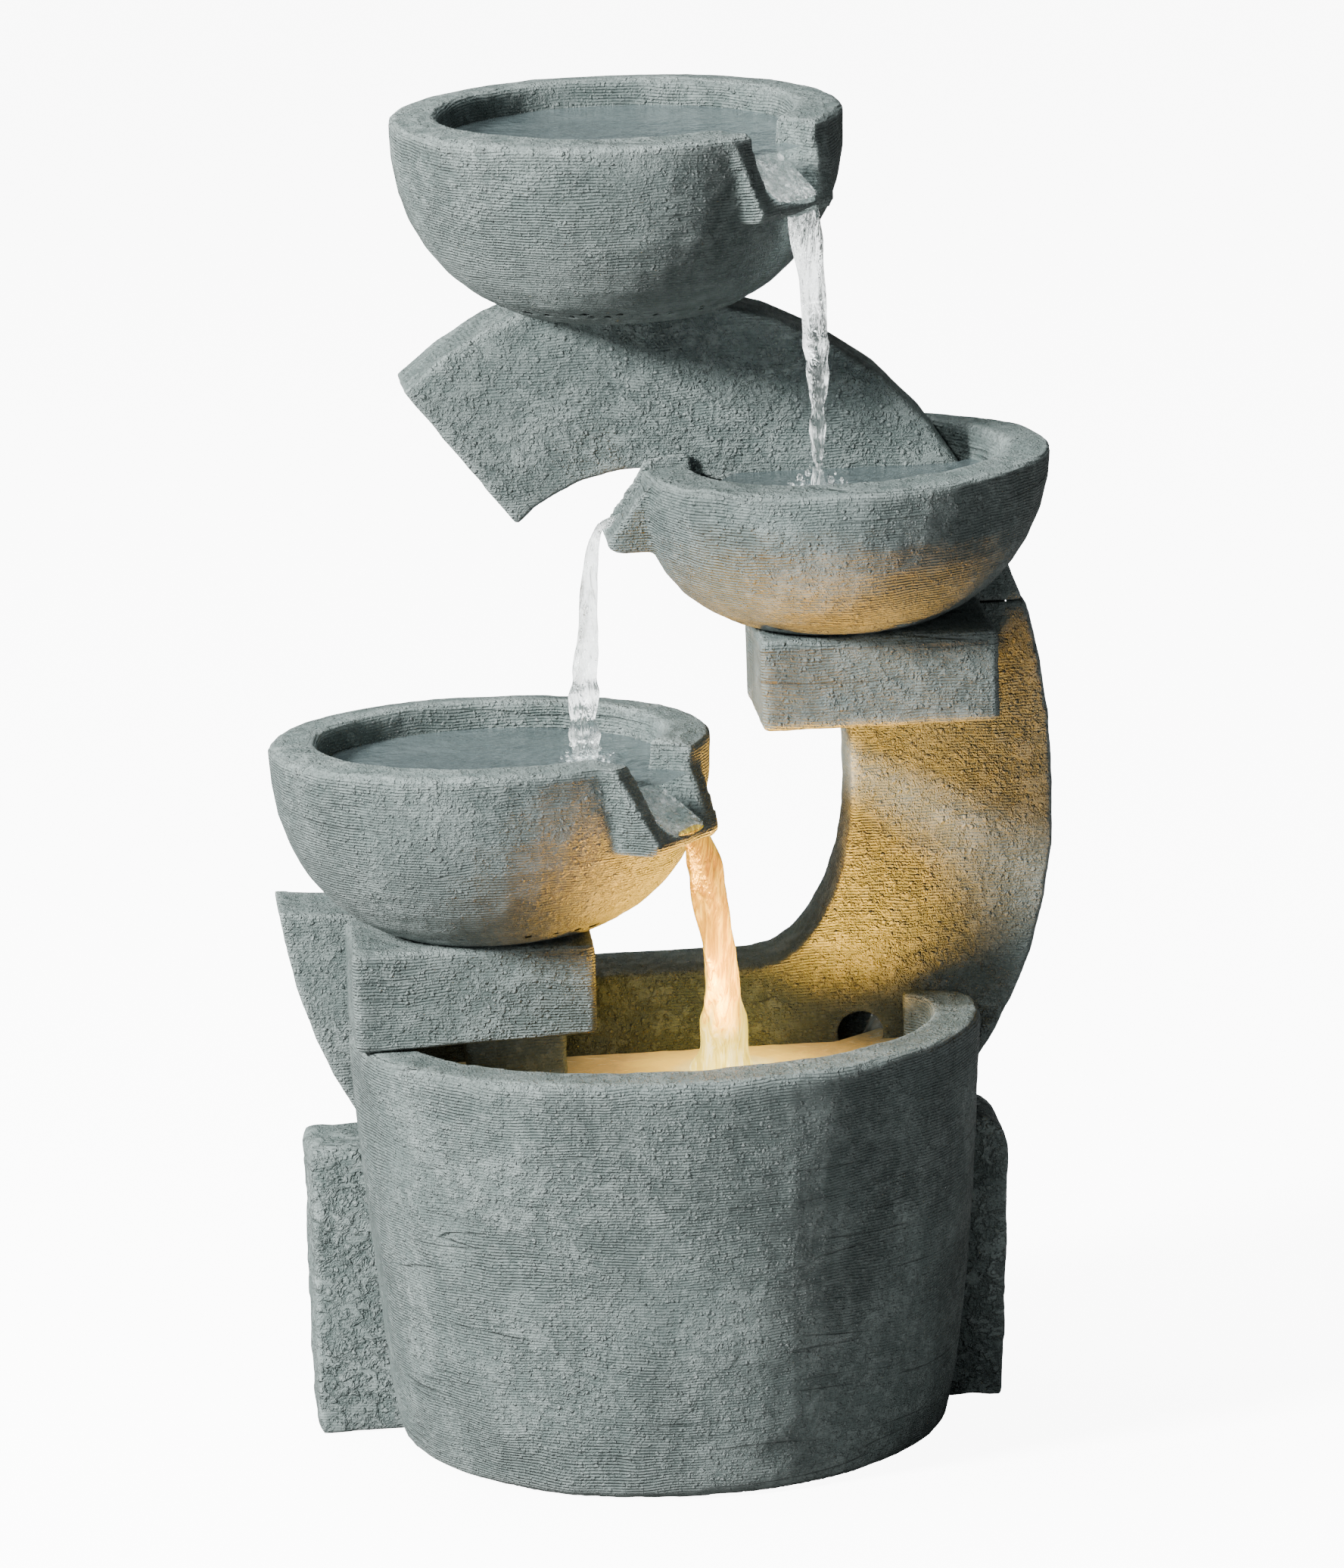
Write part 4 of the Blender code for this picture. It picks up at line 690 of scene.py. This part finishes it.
surface = dict(
    # mesh of a water surface, small ripples, and the rings and the hump where a stream lands
    rays=120, rings=36, overlap=0.0012, probe=0.001, furthestBowl=0.115, furthestBasin=0.20,
    swell=0.00035, swellSize=0.012, ripple=0.0002, rippleSize=0.005, edgeLift=0.0004,
    ringHeight=0.0011, ringPitch=0.0085, ringFade=0.022, hump=0.0022, humpWidth=0.010, humpGrain=0.004,
)


def treeOf(*nodes):
    bm = bmesh.new()
    for node in nodes:
        bm.from_mesh(frame["nodes"][node].data)
    found = BVHTree.FromBMesh(bm)
    bm.free()
    return found


def waterOutline(tree, middle, level, furthest):
    # how far the walls are from the middle in each direction
    reach = []
    for i in range(surface["rays"]):
        angle = 2 * math.pi * i / surface["rays"]
        way = Vector((math.cos(angle), math.sin(angle), 0))
        hit, _, _, distance = tree.ray_cast(Vector((*middle, level)), way, furthest)
        reach.append(distance + surface["overlap"] if hit is not None else furthest)
    return np.array(reach)


def makeWater(name, tree, middle, level, furthest, splashes, finish):
    reach = waterOutline(tree, middle, level - surface["probe"], furthest)
    bm = bmesh.new()
    centre = bm.verts.new((*middle, level))
    rings = []
    for r in range(1, surface["rings"] + 1):
        share = r / surface["rings"]
        ring = []
        for i in range(surface["rays"]):
            angle = 2 * math.pi * i / surface["rays"]
            ring.append(bm.verts.new((
                middle[0] + math.cos(angle) * reach[i] * share, middle[1] + math.sin(angle) * reach[i] * share, level,
            )))
        rings.append(ring)
    for i in range(surface["rays"]):
        j = (i + 1) % surface["rays"]
        bm.faces.new((centre, rings[0][i], rings[0][j]))
        for inner, outer in zip(rings, rings[1:]):
            bm.faces.new((inner[i], outer[i], outer[j], inner[j]))
    mesh = bpy.data.meshes.new(name)
    bm.to_mesh(mesh)
    bm.free()
    places = meshPoints(mesh)
    lift = surface["swell"] * softNoise(places, surface["swellSize"], 5)
    lift += surface["ripple"] * softNoise(places, surface["rippleSize"], 6)
    for x, y in splashes:
        away = np.hypot(places[:, 0] - x, places[:, 1] - y)
        circles = np.cos(away / surface["ringPitch"] * 2 * math.pi) * np.exp(-away / surface["ringFade"])
        hump = np.exp(-(away / surface["humpWidth"]) ** 2)
        lift += surface["ringHeight"] * circles
        lift += surface["hump"] * hump * (0.6 + 0.4 * softNoise(places, surface["humpGrain"], 7))
    edge = np.zeros(len(places), bool)
    edge[-surface["rays"]:] = True
    lift[edge] = surface["edgeLift"]
    places[:, 2] += lift
    mesh.vertices.foreach_set("co", places.astype(np.float32).ravel())
    mesh.update()
    mesh.shade_smooth()
    mesh.materials.append(finish)
    piece = bpy.data.objects.new(name, mesh)
    scene.collection.objects.link(piece)
    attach(piece, "fountain")
    return piece


def spoutFrame(values):
    low, high = (Vector(corner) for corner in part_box(values["node"]))
    if values["node"] == "middle_bowl":
        radius = (high.y - low.y) / 2
        middle = Vector((high.x - radius, low.y + radius, high.z))
    else:
        middle = Vector(((low.x + high.x) / 2, (low.y + high.y) / 2, high.z))
    half = (high.x - low.x) / 2 if values["node"] != "middle_bowl" else (high.y - low.y) / 2
    deep = (high.y - low.y) / 2
    angle = math.radians(values["spout"])
    way = Vector((math.cos(angle), math.sin(angle), 0))
    rim = 1 / math.hypot(way.x / half, way.y / deep)
    return middle, way, rim


def tubeMesh(name, rings, finish):
    bm = bmesh.new()
    made = [[bm.verts.new(spot) for spot in ring] for ring in rings]
    for upper, lower in zip(made, made[1:]):
        for k in range(len(upper)):
            j = (k + 1) % len(upper)
            bm.faces.new((upper[k], lower[k], lower[j], upper[j]))
    bm.faces.new(made[0])
    bm.faces.new(list(reversed(made[-1])))
    bmesh.ops.recalc_face_normals(bm, faces=bm.faces)
    mesh = bpy.data.meshes.new(name)
    bm.to_mesh(mesh)
    bm.free()
    mesh.shade_smooth()
    mesh.materials.append(finish)
    piece = bpy.data.objects.new(name, mesh)
    scene.collection.objects.link(piece)
    fine = piece.modifiers.new("fine", "SUBSURF")
    fine.levels = 1
    fine.render_levels = 1
    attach(piece, "fountain")
    return piece


def stepped(stops, t):
    places, values = zip(*stops)
    return float(np.interp(t, places, values))


def channelSheet(name, values, finish):
    # The thin sheet that runs down the spout's channel. It returns the lip, where the fall begins.
    middle, way, rim = spoutFrame(values)
    across = Vector((-way.y, way.x, 0))
    tree = treeOf(values["node"])
    start, nose = rim - values["rimWidth"] - 0.004, rim + values["reach"]
    surface = middle.z - values["under"]
    lines = 11
    rings, tops = [], []
    for i in range(lines):
        reach = start + (nose + 0.0010 - start) * i / (lines - 1)
        spot = middle + way * reach + across * values["shift"]
        hit = tree.ray_cast(Vector((spot.x, spot.y, middle.z + 0.004)), Vector((0, 0, -1)), 0.08)[0]
        floor = hit.z if hit is not None and i > 1 else surface - 0.003
        top = min(surface - 0.0004, floor + 0.0026)
        if i == lines - 1:
            top = 2 * tops[-1] - tops[-2]
        tops.append(top)
        half = values["channel"] / 2 * (1 - 0.12 * i / (lines - 1))
        ring = []
        for k in range(24):
            angle = 2 * math.pi * k / 24
            a, b = math.cos(angle), math.sin(angle)
            height = top - 0.0012 + 0.0012 * b + 0.0004 * math.sin(9 * a + i * 1.7) * max(b, 0)
            side = math.copysign(abs(a) ** 0.6, a) * half
            ring.append(Vector((spot.x, spot.y, height)) + across * side)
        rings.append(ring)
    tubeMesh(name, rings, finish)
    lip = middle + way * (nose - 0.0004) + across * values["shift"]
    return Vector((lip.x, lip.y, tops[-1] - 0.0008)), way, across


flow = dict(
    # mesh of a stream, where it ends under the water, how it bends, and its wander, twist, ropes and beads
    lines=72, sides=28, underWater=0.003, sideways=0.7, downwards=1.3, beadsFrom=0.45,
    wanderAcross=0.0014, wanderThin=0.0012, sway=0.25, bigRopes=0.11, smallRopes=0.08, beadWaves=(46, 83),
)


def makeStream(name, values, landing, level, fall, finish, seed):
    # A falling stream that starts as wide as the lip's sheet, twists and thins, and breaks up low down.
    lip, way, across = channelSheet(name + "_sheet", values, streamFinishes["clear"])
    end = Vector((*landing, level - flow["underWater"]))
    lines, sides = flow["lines"], flow["sides"]
    rng = np.random.default_rng(seed)
    phases = rng.random(6) * 2 * math.pi
    spine = []
    for i in range(lines + 1):
        t = i / lines
        out, down = t ** flow["sideways"], t ** flow["downwards"]
        spot = Vector((
            lip.x + (end.x - lip.x) * out, lip.y + (end.y - lip.y) * out, lip.z + (end.z - lip.z) * down,
        ))
        spine.append(spot + way * (fall["arch"] * t * (1 - t)))
    rings = []
    for i, spot in enumerate(spine):
        t = i / lines
        along = (spine[min(i + 1, lines)] - spine[max(i - 1, 0)]).normalized()
        thin = along.cross(across).normalized()
        width, thick = stepped(fall["width"], t), stepped(fall["thick"], t)
        beads = fall["beads"] * max(0.0, (t - flow["beadsFrom"]) / (1 - flow["beadsFrom"]))
        coarse, fine = flow["beadWaves"]
        pulse = 1 + beads * math.sin(t * coarse + phases[4]) + beads * 0.5 * math.sin(t * fine + phases[5])
        loose = min(t * 4, 1.0)
        twist = fall["twist"] * t + flow["sway"] * math.sin(t * 9 + phases[0]) * loose
        wander = across * (flow["wanderAcross"] * math.sin(t * 12 + phases[2]) * loose)
        wander += thin * (flow["wanderThin"] * math.sin(t * 9 + phases[3]) * loose)
        ring = []
        for k in range(sides):
            angle = 2 * math.pi * k / sides
            big = flow["bigRopes"] * math.sin(3 * angle + phases[0] + t * 12)
            small = flow["smallRopes"] * math.sin(5 * angle + phases[1] - t * 19)
            ropes = 1 + loose * (big + small)
            a = math.cos(angle) * width / 2 * ropes * pulse
            b = math.sin(angle) * thick / 2 * ropes * pulse
            a, b = a * math.cos(twist) - b * math.sin(twist), a * math.sin(twist) + b * math.cos(twist)
            ring.append(spot + across * a + thin * b + wander)
        rings.append(ring)
    tubeMesh(name, rings, finish)


droplets = dict(count=46, spread=0.018, rise=0.013, smallest=0.0006, more=0.0011, tall=1.25)


def makeDroplets(name, landing, level, finish, seed):
    rng = np.random.default_rng(seed)
    spread, rise = droplets["spread"], droplets["rise"]
    bm = bmesh.new()
    for _ in range(droplets["count"]):
        angle = rng.random() * 2 * math.pi
        away = spread * (0.25 + 0.75 * rng.random())
        size = droplets["smallest"] + droplets["more"] * rng.random() ** 2
        height = rise * rng.random() ** 1.6 * (1.15 - away / spread)
        place = Vector((landing[0] + math.cos(angle) * away, landing[1] + math.sin(angle) * away, level + height))
        shape = Matrix.Diagonal((1, 1, droplets["tall"], 1))
        bmesh.ops.create_icosphere(bm, subdivisions=2, radius=size, matrix=Matrix.Translation(place) @ shape)
    mesh = bpy.data.meshes.new(name)
    bm.to_mesh(mesh)
    bm.free()
    mesh.shade_smooth()
    mesh.materials.append(finish)
    piece = bpy.data.objects.new(name, mesh)
    scene.collection.objects.link(piece)
    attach(piece, "fountain")


waters = dict(
    still=dict(
        deep=(0.055, 0.078, 0.082), shallow=(0.150, 0.190, 0.195), foam=(0.62, 0.68, 0.70), rough=0.05, clear=0.40,
    ),
    falling=dict(deep=(0.93, 0.97, 0.96), rough=0.03, transmission=1.0),
    lit=dict(deep=(0.40, 0.26, 0.06), strength=1.7, rough=0.08, streamClear=0.30, streamTop=0.13),
    shadow=0.15, ior=1.33,
)
# colours of the painted glow that the lamp-lit stream and basin water emit
streamGlow = (
    (0.05, (0.04, 0.030, 0.003)), (0.40, (0.26, 0.205, 0.010)), (0.72, (0.80, 0.66, 0.110)), (1.0, (1.0, 0.92, 0.48)),
)
basinGlow = (
    (0.0, (0.055, 0.045, 0.022)), (0.30, (0.36, 0.21, 0.055)), (0.60, (1.0, 0.60, 0.08)), (0.84, (1.0, 0.86, 0.34)),
)


def thinShadow(tree, shader):
    # clear water lets most of the light through to the stone under it
    path = tree.nodes.new("ShaderNodeLightPath")
    passed = mathNode(tree, "MULTIPLY", path.outputs["Is Shadow Ray"], 1.0 - waters["shadow"])
    tree.links.new(mathNode(tree, "SUBTRACT", 1.0, passed), shader.inputs["Alpha"])


def stillFinish(name, splashes):
    values = waters["still"]
    made, tree, shader = startMaterial(name)
    place = tree.nodes.new("ShaderNodeTexCoord").outputs["Object"]
    colour = mixColour(tree, noiseOf(tree, place, 40.0, 3.0), values["deep"], values["shallow"])
    for x, y in splashes:
        foam = splashMask(tree, place, (x, y), 0.020, 0.45)
        bubbles = rampNode(tree, greyStops((0.45, 0.0), (0.62, 1.0)))
        tree.links.new(noiseOf(tree, place, 420.0, 3.0, 0.7), bubbles.inputs[0])
        colour = mixColour(tree, mathNode(tree, "MULTIPLY", foam, bubbles.outputs[0], True), colour, values["foam"])
    tree.links.new(colour, shader.inputs["Base Color"])
    shader.inputs["Roughness"].default_value = values["rough"]
    shader.inputs["IOR"].default_value = waters["ior"]
    shader.inputs["Transmission Weight"].default_value = values["clear"]
    thinShadow(tree, shader)
    addBump(tree, shader, noiseOf(tree, place, 160.0, 2.0), 0.0012)
    return made


def splashMask(tree, place, spot, size, strength):
    # fades from the given strength at the spot to nothing
    shift = tree.nodes.new("ShaderNodeVectorMath")
    shift.operation = "SUBTRACT"
    tree.links.new(place, shift.inputs[0])
    shift.inputs[1].default_value = (*spot, 0)
    flat = tree.nodes.new("ShaderNodeVectorMath")
    flat.operation = "MULTIPLY"
    tree.links.new(shift.outputs[0], flat.inputs[0])
    flat.inputs[1].default_value = (1, 1, 0)
    length = tree.nodes.new("ShaderNodeVectorMath")
    length.operation = "LENGTH"
    tree.links.new(flat.outputs[0], length.inputs[0])
    near = mathNode(tree, "DIVIDE", length.outputs["Value"], size)
    near = mathNode(tree, "SUBTRACT", 1.0, near, True)
    near = mathNode(tree, "POWER", near, 1.4)
    return mathNode(tree, "MULTIPLY", near, strength / 0.45, True)


def fallingFinish():
    values = waters["falling"]
    made, tree, shader = startMaterial("fallingWater")
    place = tree.nodes.new("ShaderNodeTexCoord").outputs["Object"]
    threads = noiseOf(tree, stretched(tree, place, (300, 300, 55)), 1.0, 3.0, 0.6, 0.6)
    streak = thresholdOf(tree, threads, (0.57, 0.0), (0.66, 1.0))
    shader.inputs["Base Color"].default_value = (*values["deep"], 1)
    see = mathNode(tree, "SUBTRACT", values["transmission"], mathNode(tree, "MULTIPLY", streak, 0.55))
    tree.links.new(see, shader.inputs["Transmission Weight"])
    shader.inputs["Roughness"].default_value = values["rough"]
    shader.inputs["IOR"].default_value = waters["ior"]
    thinShadow(tree, shader)
    addBump(tree, shader, threads, 0.0030)
    return made


def litFinish(name, spot, size, stream):
    # Water with a lamp under it, given a painted glow: its own emission is brightest at the spot and fades to a warm
    # brown.
    values = waters["lit"]
    made, tree, shader = startMaterial(name)
    place = tree.nodes.new("ShaderNodeTexCoord").outputs["Object"]
    if stream:
        threads = noiseOf(tree, stretched(tree, place, (330, 330, 30)), 1.0, 3.0, 0.6, 0.5)
        apart = tree.nodes.new("ShaderNodeSeparateXYZ")
        tree.links.new(place, apart.inputs[0])
        low, high = basinWater["level"], basinWater["level"] + values["streamTop"]
        fade = mathNode(tree, "DIVIDE", mathNode(tree, "SUBTRACT", high, apart.outputs[2]), high - low, True)
        strands = thresholdOf(tree, threads, (0.40, 0.0), (0.62, 1.0))
        fade, strands = mathNode(tree, "MULTIPLY", fade, 0.60), mathNode(tree, "MULTIPLY", strands, 0.40)
        mixed = mathNode(tree, "ADD", fade, strands)
        glow = rampNode(tree, streamGlow)
        tree.links.new(mixed, glow.inputs[0])
        addBump(tree, shader, threads, 0.0020)
        light = glow.outputs[0]
    else:
        near = splashMask(tree, place, spot, size, 0.45)
        ripples = noiseOf(tree, place, 60.0, 3.0, 0.6, 0.8)
        shaken = mathNode(tree, "MULTIPLY", mathNode(tree, "SUBTRACT", ripples, 0.5), 0.16)
        near = mathNode(tree, "ADD", near, shaken, True)
        glow = rampNode(tree, basinGlow)
        tree.links.new(near, glow.inputs[0])
        addBump(tree, shader, ripples, 0.0025)
        light = glow.outputs[0]
    # painted glow: the water emits this light and also takes it into its base colour
    tree.links.new(light, shader.inputs["Emission Color"])
    shader.inputs["Emission Strength"].default_value = values["strength"]
    tree.links.new(mixColour(tree, 0.5, light, values["deep"]), shader.inputs["Base Color"])
    shader.inputs["Roughness"].default_value = values["rough"]
    shader.inputs["IOR"].default_value = waters["ior"]
    if stream:
        shader.inputs["Transmission Weight"].default_value = values["streamClear"]
        thinShadow(tree, shader)
    return made


def makeWaters():
    levels = {}
    for key, values in bowls.items():
        low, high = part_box(values["node"])
        middle, way, rim = spoutFrame(values)
        levels[key] = high[2] - values["under"]
        splashes = [values["splash"]] if values["splash"] else []
        nodes = [values["node"]]
        centre = (middle.x, middle.y)
        if key == "middle":
            nodes += ["crescent_upper", "crescent_lower"]
            centre = (middle.x + 0.040, middle.y - 0.034)
            levels[key] -= 0.0028
        finish = stillFinish("bowlWater_" + key, splashes)
        makeWater(key + "_bowl_water", treeOf(*nodes), centre, levels[key], surface["furthestBowl"], splashes, finish)
    spot = basinWater["splash"]
    glow = litFinish("basinWater", spot, basinWater["glowSize"], False)
    tree = treeOf("basin", "crescent_lower")
    furthest = surface["furthestBasin"]
    makeWater("basin_water", tree, basinWater["middle"], basinWater["level"], furthest, [spot], glow)
    streamFinishes["clear"] = fallingFinish()
    streamFinishes["warm"] = litFinish("litStream", spot, basinWater["glowSize"], True)
    courses = (("upper", "middle", "clear"), ("middle", "lower", "clear"), ("lower", "basin", "warm"))
    for seed, (source, target, sort) in enumerate(courses):
        landing = basinWater["splash"] if target == "basin" else bowls[target]["splash"]
        level = basinWater["level"] if target == "basin" else levels[target]
        finish = streamFinishes[sort]
        makeStream(source + "_stream", bowls[source], landing, level, falls[source], finish, seed + 3)
        makeDroplets(source + "_splash", landing, level, finish, seed + 20)


# The warm lamps' light on the stone above them.

glows = dict(
    # place, aim, power, cone
    lamps=(
        ((0.035, -0.025, 0.214), (0.030, 0.010, 0.60), 11.0, 125.0),
        ((0.092, 0.015, 0.214), (0.130, 0.050, 0.50), 7.5, 135.0),
    ),
    blend=0.9,
    colour=(1.0, 0.46, 0.045), radius=0.030, reach=0.42, fade=0.18,
)


def makeGlow():
    for i, (place, aim, power, cone) in enumerate(glows["lamps"]):
        data = bpy.data.lights.new(f"underwater_{i + 1}", "SPOT")
        data.energy = power
        data.color = glows["colour"]
        data.spot_size = math.radians(cone)
        data.spot_blend = glows["blend"]
        data.shadow_soft_size = glows["radius"]
        data.use_nodes = True
        tree = data.node_tree
        path = tree.nodes.new("ShaderNodeLightPath")
        left = mathNode(tree, "SUBTRACT", glows["reach"], path.outputs["Ray Length"])
        left = mathNode(tree, "DIVIDE", left, glows["fade"], True)
        tree.links.new(left, tree.nodes["Emission"].inputs["Strength"])
        lamp = bpy.data.objects.new(f"underwater_{i + 1}", data)
        lamp.location = place
        lamp.rotation_euler = (Vector(place) - Vector(aim)).to_track_quat("Z", "Y").to_euler()
        scene.collection.objects.link(lamp)


# Pieces kept from the plain model, with their own finishes.


def dressNodes(replaced):
    slots = {part["node"]: part["material_slot"] for part in frame["record"]["subparts"]}
    finishes = {}
    for node, piece in frame["nodes"].items():
        if node in replaced:
            continue
        slotName = slots[node]
        if slotName not in finishes:
            finishes[slotName] = clearFinish(slotName) if slotName in clearSorts else mouldedFinish(slotName)
        if not piece.material_slots:
            piece.data.materials.append(finishes[slotName])
        for held in piece.material_slots:
            held.material = finishes[slotName]


makeCamera()
makeStudio()
print("camera and studio ready")
stoneRelief = reliefGroup()
stoneTint = tintGroup()
mouldedWear = speckleGroup()
for castNode in castings:
    made = makeCasting(castNode)
    print("cast", castNode, len(made.data.polygons), "faces")
dressNodes(castings)
print("kept pieces finished")
makeWaters()
makeGlow()
print("water and lamps ready")
